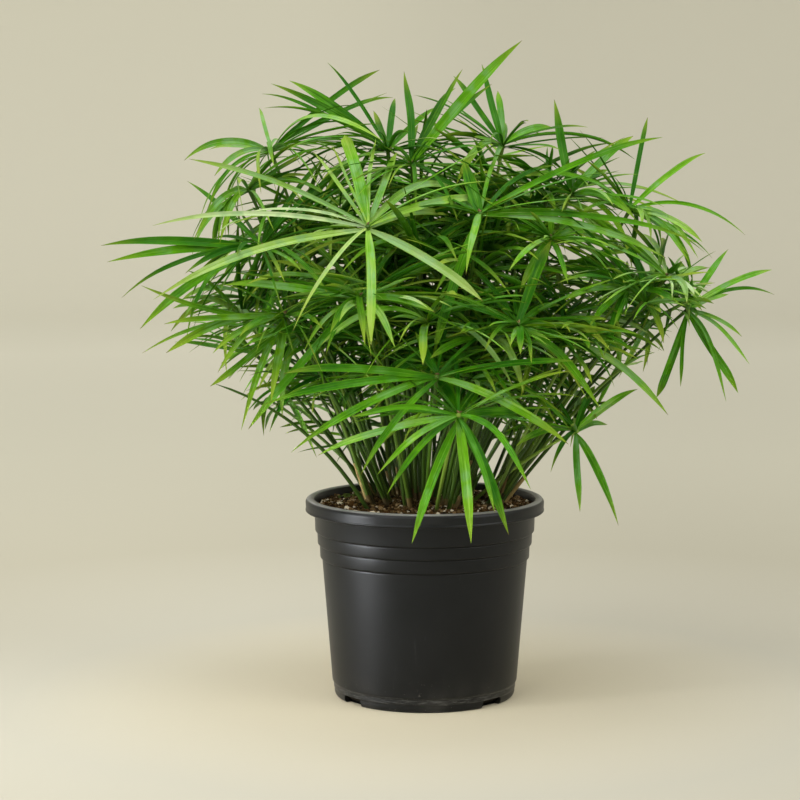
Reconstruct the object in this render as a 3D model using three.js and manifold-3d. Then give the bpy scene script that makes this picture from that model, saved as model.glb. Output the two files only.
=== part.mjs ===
// Potted umbrella plant: a clump of leafy stems in a plastic nursery pot.
// Millimetres, +Z up, +X to the viewer's right, -Y towards the viewer.
// The origin is the middle of the pot's flat underside.
import * as THREE from "three";
import { mergeVertices } from "three/addons/utils/BufferGeometryUtils.js";
import Module from "manifold-3d";

const wasm = await Module();
wasm.setup();

// Pot: driving dimensions
const POT_HEIGHT = 202;
const RIM_RADIUS = 120;
const RIM_BAND = 14;
const RIM_CREST = 115;
const RIM_INNER = 111;
const BODY_TOP_RADIUS = 111.3;
const STEP_HEIGHTS = [140, 154, 167];
const STEP_DEPTH = 2.1;
const BODY_SLOPE = 0.035;
const STEP_RISE = 3;
const FOOT_RADIUS = 91.5;
const FOOT_BAND = 14;
const CONTACT_RADIUS = 88.5;
const WALL = 2.6;
const FLOOR = 3;
const POT_SIDES = 30;

// Drain notches in the pot's bottom edge
const NOTCH_HEADINGS = [-133, -53, 47, 127];
const NOTCH_WIDTH = 27;
const NOTCH_HEIGHT = 8;
const NOTCH_REACH = 16;

// Soil
const GAP = 0.3;
const SOIL_EDGE = 194;
const SOIL_RADIUS = 108.3;
const SOIL_MOUND = 5;
const SOIL_RINGS = [1, 0.84, 0.45];
const SOIL_BUMP = 1.2;
const SOIL_WAVE = 0.12;

// Stems
const STEM_SIDES = 5;
const STEM_RADIUS = 2.6;
const STEM_TOP_RADIUS = 1.7;
const KNOB_RADIUS = 3.4;
const KNOB_HEIGHT = 4;
const STEM_STATIONS = [0, 0.34, 0.68, 0.95, 1];
const STEM_RADII = [STEM_RADIUS, 2.4, 2, STEM_TOP_RADIUS, KNOB_RADIUS];
const STEM_SUNK = 14;
const STEM_BOW = 0.08;
const STEM_BOW_SEARCH = 0.0025;
const CROWN_RADIUS = 80;
const CROWN_SHARE = 0.31;
const FOOT_SPREAD = 8;
const FOOT_SEARCH = 1.6;
const STEM_TRIES = 120;
const HOLE_GAP = 0.5;
const HOLE_MOUTH = 12;

// Blades: their leaf-like bracts
const BLADE_STATIONS = [0, 0.2, 0.5, 0.8, 1];
const BLADE_PROFILE = [0, 0.66, 1, 0.64, 0];
const BLADE_KEEL = 1.1;
const BLADE_WIDTH = 7.2;
const BLADE_CLEAR = 1.1;
const BLADE_TRIES = 36;
const BLADE_COUNT = 7;
const ROOT_SUNK = 2;
const ROOT_STEP = 1.1;
const EQUAL_GAP = 1e-6;

// Front blades: how they lean in depth, turn their face and search for room
const READ_LEAN = 0.75;
const READ_FACING = 0.9;
const READ_DEPTH_SEARCH = 5;
const READ_BOW_SEARCH = 0.008;

// Blades by rule: angles in radians about the stem's end, lengths as shares of its reach
const RULE = {
  hubTilt: 0.0022,
  turn: 0.3,
  turnSearch: 0.5,
  shortest: 0.8,
  longest: 1.2,
  shortenSearch: 0.45,
  liftSpread: 0.6,
  droopLeast: 0.15,
  droopSpread: 0.8,
  roll: 0.9,
  narrowest: 0.75,
  widest: 1.25,
  elbow: 0.55,
};

// The rounded space that the hidden stems' blades fill. It narrows towards the pot.
const CANOPY_MIDDLE = new THREE.Vector3(25, 0, 373);
const CANOPY_RADII = new THREE.Vector3(280, 270, 245);
const CANOPY_LOWEST = 235;
const CANOPY_FOOT = 130;
const CANOPY_FLARE = 0.95;
const RIM_CLEAR_RADIUS = 134;
const RIM_CLEAR_HEIGHT = 215;

// The eye that the front stems were read from, and how far their zero is above the underside
const EYE = new THREE.Vector3(-25, -2420, 565);
const READ_RISE = 3;
const UP = new THREE.Vector3(0, 0, 1);

// Front stems. A hub is (across, up, depth behind the upright plane through the pot's axis).
// A tip is (across, up, blade width, bow), read on that plane from the eye.
const FRONT_STEMS = [
  { hub: [-57, 470, -150], reach: 165, tips: [
    [58, 399, 11, 0.09], [-54, 354, 9, 0.18], [-133, 369, 4, 0.2], [-272, 404, 8, 0.09],
    [-272, 476, 5, 0.09], [-235, 540, 5, 0.07], [-112, 548, 4, 0.04], [-80, 564, 12, 0.03],
    [-49, 562, 4, 0.03], [-28, 548, 7, 0.05], [41, 502, 7, 0.34], [69, 500, 8, 0.12],
    [22, 485, 8, 0.1]] },
  { hub: [55, 483, -110], reach: 160, tips: [
    [38, 540, 12, 0.03], [8, 344, 10, 0.12], [41, 427, 7, 0.2], [276, 457, 6, 0.13],
    [241, 442, 7, 0.12], [236, 564, 6, 0.07], [72, 545, 4, 0.05], [-13, 516, 6, 0.24],
    [-20, 495, 6, 0.2]] },
  { hub: [12, 320, -190], reach: 140, tips: [
    [-142, 328, 8, 0.07], [-165, 294, 8, 0.1], [-135, 246, 8, 0.12], [-65, 224, 6, 0.14],
    [145, 252, 8, 0.16], [-10, 367, 8, 0.06], [62, 352, 7, 0.1], [150, 337, 6, 0.08]] },
  { hub: [34, 281, -200], reach: 135, tips: [
    [-13, 152, 9, 0.15], [47, 155, 10, 0.15], [85, 160, 10, 0.16], [71, 185, 5, 0.2],
    [-38, 203, 6, 0.18], [-48, 222, 6, 0.14], [-108, 242, 7, 0.12], [-74, 280, 5, 0.1],
    [107, 208, 6, 0.3], [105, 282, 8, 0.1], [5, 325, 8, 0.06], [55, 317, 7, 0.06]] },
  { hub: [152, 265, -60], reach: 110, tips: [
    [196, 171, 8, 0.24], [157, 184, 7, 0.14], [127, 226, 5, 0.2], [184, 272, 6, 0.1],
    [214, 310, 8, 0.08], [92, 252, 7, 0.16], [124, 296, 7, 0.08], [171, 312, 7, 0.08]] },
  { hub: [263, 388, -20], reach: 110, tips: [
    [303, 450, 7, 0.05], [347, 429, 6, 0.1], [350, 405, 4, 0.2], [304, 404, 6, 0.06],
    [318, 363, 4, 0.1], [326, 334, 4, 0.16], [315, 306, 8, 0.12], [303, 298, 5, 0.32],
    [233, 300, 8, -0.14], [257, 312, 4, 0.14], [255, 439, 11, 0.03], [205, 412, 7, 0.16]] },
  { hub: [203, 409, -80], reach: 100, tips: [
    [140, 400, 6, 0.14], [165, 372, 7, 0.14], [180, 342, 9, 0.14], [140, 440, 6, 0.1],
    [147, 425, 8, 0.08], [202, 438, 4, 0.06], [255, 395, 6, 0.16], [235, 427, 6, 0.1]] },
  { hub: [94, 372, -150], reach: 110, tips: [
    [90, 407, 7, 0.06], [126, 460, 10, 0.05], [177, 289, 8, 0.16], [96, 345, 7, 0.2],
    [55, 381, 7, 0.12], [60, 347, 4, 0.3], [137, 394, 7, 0.12]] },
  { hub: [139, 357, -100], reach: 100, tips: [
    [245, 282, 7, 0.26], [55, 339, 4, 0.12], [185, 372, 5, 0.12], [135, 322, 7, 0.2]] },
  { hub: [125, 459, -90], reach: 90, tips: [
    [143, 415, 5, 0.2], [84, 471, 7, 0.1], [95, 407, 7, 0.18], [175, 465, 7, 0.12]] },
  { hub: [145, 503, -30], reach: 110, tips: [
    [128, 598, 9, 0.03], [207, 564, 8, 0.06], [183, 528, 7, 0.1], [210, 480, 7, 0.28]] },
  { hub: [204, 487, -20], reach: 120, tips: [
    [221, 582, 5, 0.03], [279, 547, 6, 0.08], [320, 466, 4, 0.26], [277, 457, 6, 0.22],
    [264, 436, 5, 0.26], [273, 441, 4, 0.32]] },
  { hub: [-13, 532, -40], reach: 130, tips: [
    [-21, 625, 8, 0.03], [37, 628, 5, 0.06], [96, 658, 11, 0.05], [66, 613, 7, 0.08],
    [30, 610, 7, 0.2], [16, 593, 5, 0.06]] },
  { hub: [-37, 546, 0], reach: 130, tips: [
    [-135, 619, 10, 0.05], [-153, 614, 8, 0.07], [-162, 606, 4, 0.12], [-160, 590, 4, 0.2],
    [-97, 637, 4, 0.05], [-30, 601, 7, 0.08], [12, 590, 6, 0.1]] },
  { hub: [77, 550, 20], reach: 110, tips: [
    [56, 633, 7, 0.04], [28, 622, 6, 0.06], [127, 571, 7, 0.12], [72, 606, 7, 0.05],
    [66, 592, 8, 0.05], [209, 541, 5, 0.26]] },
  { hub: [-140, 381, -110], reach: 130, tips: [
    [-284, 413, 5, -0.12], [-262, 375, 6, 0.06], [-260, 346, 8, 0.16], [-155, 297, 9, 0.08],
    [-185, 268, 7, 0.22], [-208, 326, 5, 0.24], [-102, 370, 5, 0.14], [-284, 347, 4, 0.14],
    [-213, 347, 6, 0.14], [-216, 314, 6, -0.16]] },
  { hub: [-64, 399, -140], reach: 120, tips: [
    [-201, 416, 8, 0.08], [10, 386, 7, 0.14], [-95, 367, 7, 0.16], [-40, 440, 7, 0.06],
    [-30, 350, 7, 0.2], [-178, 268, 8, 0.08]] },
  { hub: [-163, 450, -60], reach: 150, tips: [
    [-324, 455, 9, 0.06], [-318, 437, 9, 0.06], [-304, 404, 5, 0.2], [-286, 371, 9, 0.15],
    [-240, 425, 7, 0.12], [-237, 519, 6, 0.02]] },
  { hub: [-153, 545, 20], reach: 150, tips: [
    [-240, 539, 7, 0.26], [-210, 523, 6, 0.2], [-165, 592, 4, 0.03], [-215, 548, 5, 0.12],
    [-45, 630, 6, 0.05], [-32, 602, 5, 0.14]] },
  { hub: [-175, 507, 0], reach: 110, tips: [
    [-231, 458, 7, 0.34], [-205, 457, 6, 0.36]] },
];

// Hidden stems, in arcs about the pot's axis: headings are degrees from +X towards +Y
const HIDDEN_ARCS = [
  { count: 10, radius: 198, up: 388, from: 2, to: 172, reach: 150 },
  { count: 7, radius: 118, up: 488, from: 20, to: 165, reach: 150 },
  { count: 5, radius: 165, up: 303, from: 22, to: 158, reach: 125 },
  { count: 6, radius: 66, up: 428, from: -120, to: 180, reach: 130 },
  { count: 5, radius: 134, up: 388, from: -155, to: -25, reach: 120 },
  { count: 3, radius: 205, up: 418, from: -38, to: 8, reach: 120 },
];
const HIDDEN_WIDEN = 1.1;
const HIDDEN_NARROW = 0.9;
const HIDDEN_TURN = 8;
const HIDDEN_RADIUS_SPREAD = 0.24;
const HIDDEN_UP_SPREAD = 50;
const FRONT_LIFT = 0.4;
const YOUNGEST_LIFT = 0.8;
const OLDEST_LIFT = 0.1;

// Bare young shoots: points are (across, up, depth)
const SHOOTS = [
  [[-58, 203, -50], [-112, 281, -70], [-210, 313, -80]],
  [[24, 201, -62], [40, 262, -92], [44, 322, -104]],
];
const SHOOT_STATIONS = [0, 0.35, 0.7, 0.97];
const SHOOT_RADII = [2.2, 1.9, 1.5, 1.1];

const SEED = 20431;

// Repeatable random numbers between 0 and 1
function makeDraw(seed) {
  let state = seed;
  return () => {
    state = (state * 16807) % 2147483647;
    return state / 2147483647;
  };
}

function onSight(across, up, depth) {
  const grow = (depth - EYE.y) / -EYE.y;
  return new THREE.Vector3(
    EYE.x + (across - EYE.x) * grow,
    depth,
    EYE.z + (up + READ_RISE - EYE.z) * grow,
  );
}

const bowed = (start, end, bow) =>
  start.clone().lerp(end, 0.5).addScaledVector(UP, bow * start.distanceTo(end));

const clamp = (value) => Math.min(1, Math.max(0, value));
const mix = (low, high, share) => low + (high - low) * share;

// The shortest way from one segment to another
function between(one, two) {
  const a = one.q.clone().sub(one.p);
  const b = two.q.clone().sub(two.p);
  const r = one.p.clone().sub(two.p);
  const aa = a.dot(a);
  const bb = b.dot(b);
  const ab = a.dot(b);
  const ar = a.dot(r);
  const br = b.dot(r);
  const flat = aa * bb - ab * ab;
  let s = flat > 1e-9 ? clamp((ab * br - ar * bb) / flat) : 0;
  let t = (ab * s + br) / bb;
  if (t < 0) {
    t = 0;
    s = clamp(-ar / aa);
  } else if (t > 1) {
    t = 1;
    s = clamp((ab - ar) / aa);
  }
  return two.p.clone().addScaledVector(b, t).sub(one.p).addScaledVector(a, -s);
}

// Free space between two segments, each a bar with a flat width across it
function spaceBetween(one, two) {
  const way = between(one, two);
  const length = way.length();
  if (length < 1e-6) return -1;
  way.divideScalar(length);
  const first = one.half * Math.abs(one.lateral.dot(way)) + one.body;
  const second = two.half * Math.abs(two.lateral.dot(way)) + two.body;
  return length - first - second;
}

const standing = [];

function isClear(segments, owner) {
  for (const one of segments) {
    for (const two of standing) {
      if (two.owner !== owner && spaceBetween(one, two) < BLADE_CLEAR) return false;
    }
  }
  return true;
}

function keep(segments, owner) {
  for (const segment of segments) standing.push({ ...segment, owner });
}

// Points along a stem's curve; the first is sunk straight into the soil
function sunkLine(base, middle, end, stations) {
  const curve = new THREE.QuadraticBezierCurve3(base, middle, end);
  const points = stations.map((t) => curve.getPoint(t));
  const first = points[1].clone().sub(points[0]).normalize();
  points[0] = base.clone().addScaledVector(first, -STEM_SUNK);
  return points;
}

function barSegments(points, radii) {
  return points.slice(1).map((q, i) => ({
    p: points[i],
    q,
    lateral: UP,
    half: 0,
    body: Math.max(radii[i], radii[i + 1]),
  }));
}

// A blade: hub, middle and tip of its curve, its half width and its roll about its own line
function bladeFrame(blade, t) {
  const along = blade.middle.clone().sub(blade.root).multiplyScalar(1 - t)
    .addScaledVector(blade.tip.clone().sub(blade.middle), t).normalize();
  const side = new THREE.Vector3(
    blade.tip.y - blade.root.y,
    blade.root.x - blade.tip.x,
    0,
  ).normalize();
  const top = side.clone().cross(along).normalize();
  const flat = along.clone().cross(top);
  const roll = blade.roll;
  return {
    lateral: flat.clone().multiplyScalar(Math.cos(roll)).addScaledVector(top, Math.sin(roll)),
    top: top.clone().multiplyScalar(Math.cos(roll)).addScaledVector(flat, -Math.sin(roll)),
  };
}

function bladePoints(blade) {
  const curve = new THREE.QuadraticBezierCurve3(blade.root, blade.middle, blade.tip);
  return BLADE_STATIONS.map((t) => curve.getPoint(t));
}

function bladeSegments(blade) {
  const points = bladePoints(blade);
  return points.slice(1).map((q, i) => ({
    p: points[i],
    q,
    lateral: bladeFrame(blade, (BLADE_STATIONS[i] + BLADE_STATIONS[i + 1]) / 2).lateral,
    half: blade.half * Math.max(BLADE_PROFILE[i], BLADE_PROFILE[i + 1]),
    body: BLADE_KEEL,
  }));
}

const clearsPot = (points) => points.every(
  (p) => Math.hypot(p.x, p.y) > RIM_CLEAR_RADIUS || p.z > RIM_CLEAR_HEIGHT,
);

function insideCanopy(point) {
  const share = point.clone().sub(CANOPY_MIDDLE).divide(CANOPY_RADII);
  const height = point.z - CANOPY_LOWEST;
  const flared = Math.hypot(point.x, point.y) < CANOPY_FOOT + CANOPY_FLARE * height;
  return share.length() < 1 && height > 0 && flared;
}

function tryBlade(stem, blade) {
  const segments = bladeSegments(blade);
  if (!clearsPot(bladePoints(blade)) || !isClear(segments, stem.name)) return false;
  keep(segments, stem.name);
  stem.blades.push(blade);
  return true;
}

function rootOf(stem, tip, order) {
  const heading = tip.clone().sub(stem.hub);
  heading.z = 0;
  heading.normalize();
  return stem.hub.clone().addScaledVector(heading, -ROOT_SUNK)
    .addScaledVector(UP, ((order % 3) - 1) * ROOT_STEP);
}

// Front blade: its tip stays on its sight line and only its depth and bow are searched
function addReadBlade(stem, [across, up, width, bow], order, draw) {
  const [hubAcross, hubUp, depth] = stem.read;
  const span = Math.hypot(across - hubAcross, up - hubUp);
  const lean = READ_LEAN * Math.sqrt(Math.max(0, stem.reach ** 2 - span ** 2));
  const towards = up < hubUp ? -1 : 1;
  for (let attempt = 0; attempt < BLADE_TRIES; attempt += 1) {
    const shift = (draw() - 0.5) * READ_DEPTH_SEARCH * attempt;
    const tip = onSight(across, up, depth + towards * lean + shift);
    const root = rootOf(stem, tip, order);
    const middle = bowed(root, tip, bow + (draw() - 0.5) * READ_BOW_SEARCH * attempt);
    const roll = (READ_FACING * (root.x - tip.x)) / root.distanceTo(tip);
    const blade = { root, middle, tip, half: width / 2, roll };
    if (tryBlade(stem, blade)) return;
  }
}

// Blade by rule: heading about the stem's end, rising first and then drooping
function addRuleBlade(stem, heading, order, draw) {
  const { x, y } = stem.hub;
  const axis = new THREE.Vector3(x * RULE.hubTilt, y * RULE.hubTilt, 1).normalize();
  const east = new THREE.Vector3(0, 1, 0).cross(axis).normalize();
  const north = axis.clone().cross(east);
  for (let attempt = 0; attempt < BLADE_TRIES; attempt += 1) {
    const ease = attempt / BLADE_TRIES;
    const turn = heading + (draw() - 0.5) * (RULE.turn + RULE.turnSearch * ease);
    const share = mix(RULE.shortest, RULE.longest, draw()) * (1 - RULE.shortenSearch * ease);
    const reach = stem.reach * share;
    const lift = stem.lift + (draw() - 0.5) * RULE.liftSpread;
    const fall = lift - RULE.droopLeast - RULE.droopSpread * draw();
    const roll = mix(-RULE.roll, RULE.roll, draw());
    const width = BLADE_WIDTH * mix(RULE.narrowest, RULE.widest, draw());
    const out = east.clone().multiplyScalar(Math.cos(turn)).addScaledVector(north, Math.sin(turn));
    const tip = stem.hub.clone().addScaledVector(out, reach * Math.cos(fall))
      .addScaledVector(axis, reach * Math.sin(fall));
    const root = rootOf(stem, tip, order);
    const middle = stem.hub.clone().addScaledVector(out, RULE.elbow * reach * Math.cos(lift))
      .addScaledVector(axis, RULE.elbow * reach * Math.sin(lift));
    const blade = { root, middle, tip, half: width / 2, roll };
    if (insideCanopy(tip) && tryBlade(stem, blade)) return;
  }
}

// The middle of the widest gap between the headings in use, the first of equal ones
function openHeading(used) {
  const sorted = [...used].sort((one, two) => one - two);
  let best = sorted[0];
  let widest = 0;
  sorted.forEach((heading, i) => {
    const next = i + 1 < sorted.length ? sorted[i + 1] : sorted[0] + 2 * Math.PI;
    if (next - heading > widest + EQUAL_GAP) {
      widest = next - heading;
      best = heading + widest / 2;
    }
  });
  return best > Math.PI ? best - 2 * Math.PI : best;
}

// Where every stem stands and where its hub is
function plantStem(name, hub, draw) {
  for (let attempt = 0; attempt < STEM_TRIES; attempt += 1) {
    const spread = FOOT_SPREAD + FOOT_SEARCH * attempt;
    const x = hub.x * CROWN_SHARE + (draw() - 0.5) * spread;
    const y = hub.y * CROWN_SHARE + (draw() - 0.5) * spread;
    const bow = STEM_BOW + (draw() - 0.5) * STEM_BOW_SEARCH * attempt;
    if (Math.hypot(x, y) > CROWN_RADIUS) continue;
    const base = new THREE.Vector3(x, y, soilHeight(x, y));
    const points = sunkLine(base, bowed(base, hub, bow), hub, STEM_STATIONS);
    const segments = barSegments(points, STEM_RADII);
    if (isClear(segments, name)) {
      keep(segments, name);
      return { name, hub, points, blades: [] };
    }
  }
  throw new Error(`no free place for ${name}`);
}

const stemName = (number) => `leafy_stem_${String(number).padStart(2, "0")}`;

function planStems() {
  const draw = makeDraw(SEED);
  const stems = FRONT_STEMS.map(({ hub, reach, tips }, i) => ({
    ...plantStem(stemName(i + 1), onSight(...hub), draw),
    read: hub,
    reach,
    tips,
    lift: FRONT_LIFT,
  }));
  for (const arc of HIDDEN_ARCS) {
    for (let i = 0; i < arc.count; i += 1) {
      const even = mix(arc.from, arc.to, (i + 0.5) / arc.count);
      const degrees = even + (draw() - 0.5) * HIDDEN_TURN;
      const radius = arc.radius * (1 + (draw() - 0.5) * HIDDEN_RADIUS_SPREAD);
      const heading = THREE.MathUtils.degToRad(degrees);
      const hub = new THREE.Vector3(
        radius * HIDDEN_WIDEN * Math.cos(heading),
        radius * HIDDEN_NARROW * Math.sin(heading),
        arc.up + (draw() - 0.5) * HIDDEN_UP_SPREAD,
      );
      const stem = plantStem(stemName(stems.length + 1), hub, draw);
      const lift = mix(OLDEST_LIFT, YOUNGEST_LIFT, draw());
      stems.push({ ...stem, reach: arc.reach, tips: [], lift });
    }
  }
  for (const stem of stems) {
    stem.tips.forEach((tip, order) => addReadBlade(stem, tip, order, draw));
  }
  for (const stem of stems) {
    const used = stem.blades.map((b) => Math.atan2(b.tip.y - stem.hub.y, b.tip.x - stem.hub.x));
    const turn = 2 * Math.PI * draw() - Math.PI;
    for (let order = stem.tips.length; order < BLADE_COUNT; order += 1) {
      const even = turn + (2 * Math.PI * order) / BLADE_COUNT;
      const heading = stem.tips.length ? openHeading(used) : even;
      addRuleBlade(stem, heading, order, draw);
      used.push(heading);
    }
  }
  return stems;
}

// Closed solid through rings of points; a ring of one point is a tip
function loft(rings) {
  const positions = [];
  const starts = rings.map((ring) => {
    const start = positions.length / 3;
    ring.forEach((point) => positions.push(point.x, point.y, point.z));
    return start;
  });
  const faces = [];
  const cap = (start, count, flip) => {
    for (let i = 1; i + 1 < count; i += 1) {
      faces.push(start, start + (flip ? i + 1 : i), start + (flip ? i : i + 1));
    }
  };
  for (let i = 0; i + 1 < rings.length; i += 1) {
    const lower = rings[i].length;
    const upper = rings[i + 1].length;
    const count = Math.max(lower, upper);
    for (let j = 0; j < count; j += 1) {
      const k = (j + 1) % count;
      const low = (at) => starts[i] + (lower === 1 ? 0 : at);
      const high = (at) => starts[i + 1] + (upper === 1 ? 0 : at);
      if (lower > 1) faces.push(low(j), low(k), high(k));
      if (upper > 1) faces.push(low(j), high(k), high(j));
    }
  }
  cap(starts[0], rings[0].length, true);
  cap(starts[rings.length - 1], rings[rings.length - 1].length, false);
  return solidOf(positions, faces);
}

function solidOf(positions, faces) {
  return new wasm.Manifold(new wasm.Mesh({
    numProp: 3,
    vertProperties: new Float32Array(positions),
    triVerts: new Uint32Array(faces),
  }));
}

function solidFromGeometry(geometry) {
  const bare = geometry.clone();
  bare.deleteAttribute("normal");
  bare.deleteAttribute("uv");
  const merged = mergeVertices(bare, 1e-4);
  return solidOf(merged.attributes.position.array, merged.index.array);
}

function geometryOf(solid) {
  const { numProp, vertProperties, triVerts } = solid.getMesh();
  const geometry = new THREE.BufferGeometry();
  if (numProp !== 3) throw new Error("a solid holds only its positions");
  geometry.setAttribute("position", new THREE.BufferAttribute(new Float32Array(vertProperties), 3));
  geometry.setIndex(new THREE.BufferAttribute(new Uint32Array(triVerts), 1));
  geometry.computeVertexNormals();
  return geometry;
}

function ringAt(middle, direction, radius) {
  const u = new THREE.Vector3(0, 1, 0).cross(direction).normalize();
  const v = direction.clone().cross(u);
  return Array.from({ length: STEM_SIDES }, (_, i) => {
    const angle = (2 * Math.PI * i) / STEM_SIDES;
    return middle.clone().addScaledVector(u, radius * Math.cos(angle))
      .addScaledVector(v, radius * Math.sin(angle));
  });
}

const directionAt = (points, i) => {
  const next = points[Math.min(points.length - 1, i + 1)];
  return next.clone().sub(points[Math.max(0, i - 1)]).normalize();
};

function barSolid(points, radii, tip) {
  const rings = points.map((point, i) => ringAt(point, directionAt(points, i), radii[i]));
  return loft([...rings, [tip]]);
}

function bladeSolid(blade) {
  const points = bladePoints(blade);
  const rings = points.map((point, i) => {
    const half = blade.half * BLADE_PROFILE[i];
    if (half === 0) return [point];
    const { lateral, top } = bladeFrame(blade, BLADE_STATIONS[i]);
    return [
      point.clone().addScaledVector(lateral, half),
      point.clone().addScaledVector(top, -BLADE_KEEL),
      point.clone().addScaledVector(lateral, -half),
    ];
  });
  return loft(rings);
}

function leafyStemSolid(stem) {
  const { points } = stem;
  const end = directionAt(points, points.length - 1);
  const tip = stem.hub.clone().addScaledVector(end, KNOB_HEIGHT);
  return stem.blades.reduce(
    (solid, blade) => solid.add(bladeSolid(blade)),
    barSolid(points, STEM_RADII, tip),
  );
}

function readShoot(readings) {
  const [base, middle, tip] = readings.map((reading) => onSight(...reading));
  base.z = soilHeight(base.x, base.y);
  return { points: sunkLine(base, middle, tip, SHOOT_STATIONS), tip };
}

// Pot profile from the middle of its floor, up the outside and down the inside
function outerWall() {
  const points = [];
  let radius = BODY_TOP_RADIUS;
  let below = POT_HEIGHT - RIM_BAND;
  points.push([radius, below]);
  for (const height of [...STEP_HEIGHTS].reverse()) {
    radius -= (below - height - STEP_RISE) * BODY_SLOPE;
    points.push([radius, height + STEP_RISE]);
    radius -= STEP_DEPTH;
    points.push([radius, height]);
    below = height;
  }
  points.push([FOOT_RADIUS + 2.2, FOOT_BAND + 2]);
  return points.reverse();
}

function potProfile() {
  const outside = outerWall();
  const inside = [7, 5, 3, 1, 0].map((i) => [outside[i][0] - WALL, outside[i][1]]);
  return [
    [0, 0],
    [CONTACT_RADIUS, 0],
    [FOOT_RADIUS - 1, 1.2],
    [FOOT_RADIUS, 4],
    [FOOT_RADIUS + 0.4, FOOT_BAND],
    ...outside,
    [RIM_RADIUS - 0.8, POT_HEIGHT - RIM_BAND],
    [RIM_RADIUS, POT_HEIGHT - RIM_BAND + 1.5],
    [RIM_RADIUS, POT_HEIGHT - 3.5],
    [RIM_CREST + 2.5, POT_HEIGHT - 0.5],
    [RIM_CREST, POT_HEIGHT],
    [RIM_INNER + 1, POT_HEIGHT - 1],
    [RIM_INNER, POT_HEIGHT - 4],
    ...inside,
    [FOOT_RADIUS - WALL, FLOOR + 3],
    [CONTACT_RADIUS - WALL, FLOOR],
    [0, FLOOR],
  ].map(([radius, height]) => new THREE.Vector2(radius, height));
}

// A turned solid stands along +Z; the lathe itself turns about Y
const turned = (profile) =>
  new THREE.LatheGeometry(profile, POT_SIDES).rotateX(Math.PI / 2);

function potSolid() {
  let pot = solidFromGeometry(turned(potProfile()));
  for (const degrees of NOTCH_HEADINGS) {
    const heading = THREE.MathUtils.degToRad(degrees - 90);
    const cutter = new THREE.BoxGeometry(NOTCH_REACH, NOTCH_WIDTH, 2 * NOTCH_HEIGHT);
    cutter.translate(FOOT_RADIUS - 1, 0, 0).rotateZ(heading);
    pot = pot.subtract(solidFromGeometry(cutter));
  }
  return pot;
}

function soilHeight(x, y) {
  const share = Math.min(1, Math.hypot(x, y) / SOIL_RADIUS);
  const bump = Math.sin(x * SOIL_WAVE + 1) * Math.cos(y * SOIL_WAVE - 0.6);
  return SOIL_EDGE + SOIL_MOUND * (1 - share * share) + SOIL_BUMP * bump * (1 - share ** 4);
}

function soilSolid(holes) {
  const wall = outerWall();
  const inner = (radius) => radius - WALL - GAP;
  const profile = [
    [0, FLOOR + GAP],
    [CONTACT_RADIUS - WALL - 1, FLOOR + GAP],
    [inner(FOOT_RADIUS) - 0.5, FLOOR + 3.6],
    [inner(wall[1][0]) - GAP, wall[1][1]],
    [inner(wall[3][0]) - GAP, wall[3][1]],
    [inner(wall[5][0]) - GAP, wall[5][1]],
    ...SOIL_RINGS.map((share) => [SOIL_RADIUS * share, SOIL_EDGE]),
    [0, SOIL_EDGE],
  ].map(([radius, height]) => new THREE.Vector2(radius, height));
  const geometry = turned(profile);
  const place = geometry.attributes.position;
  for (let i = 0; i < place.count; i += 1) {
    if (place.getZ(i) > SOIL_EDGE - 1) place.setZ(i, soilHeight(place.getX(i), place.getY(i)));
  }
  return holes.reduce((soil, hole) => soil.subtract(hole), solidFromGeometry(geometry));
}

// A plain hole round a stem's foot, along the stem
function holeSolid(points, radius) {
  const along = directionAt(points, 0);
  const bottom = points[0].clone().addScaledVector(along, -GAP);
  const mouth = points[0].clone().addScaledVector(along, STEM_SUNK + HOLE_MOUTH);
  const rings = [bottom, mouth].map((middle) => ringAt(middle, along, radius + HOLE_GAP));
  return loft(rings);
}

function addMesh(group, name, solid, colour, roughness) {
  const material = new THREE.MeshStandardMaterial({ color: colour, roughness, metalness: 0 });
  const mesh = new THREE.Mesh(geometryOf(solid), material);
  mesh.name = name;
  group.add(mesh);
}

const plant = new THREE.Group();
const shoots = SHOOTS.map(readShoot);
shoots.forEach(({ points }, i) => keep(barSegments(points, SHOOT_RADII), `young_shoot_${i + 1}`));
const stems = planStems();
const holes = [
  ...stems.map(({ points }) => holeSolid(points, STEM_RADIUS)),
  ...shoots.map(({ points }) => holeSolid(points, SHOOT_RADII[0])),
];
addMesh(plant, "pot", potSolid(), 0x2e2f31, 0.55);
addMesh(plant, "soil", soilSolid(holes), 0x4a3324, 0.95);
stems.forEach((stem, i) => {
  const shade = new THREE.Color().setHSL(0.29 - 0.02 * (i % 3), 0.6, 0.27 + 0.03 * (i % 4));
  addMesh(plant, stem.name, leafyStemSolid(stem), shade, 0.5);
});
shoots.forEach(({ points, tip }, i) => {
  addMesh(plant, `young_shoot_${i + 1}`, barSolid(points, SHOOT_RADII, tip), 0x5d7a2c, 0.5);
});

export default plant;
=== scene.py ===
# Potted umbrella plant: a clump of leafy stems in a plastic nursery pot.
# The scene is in metres, +Z up. The plant's plan is in millimetres, as its solids were made.
import math

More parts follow.
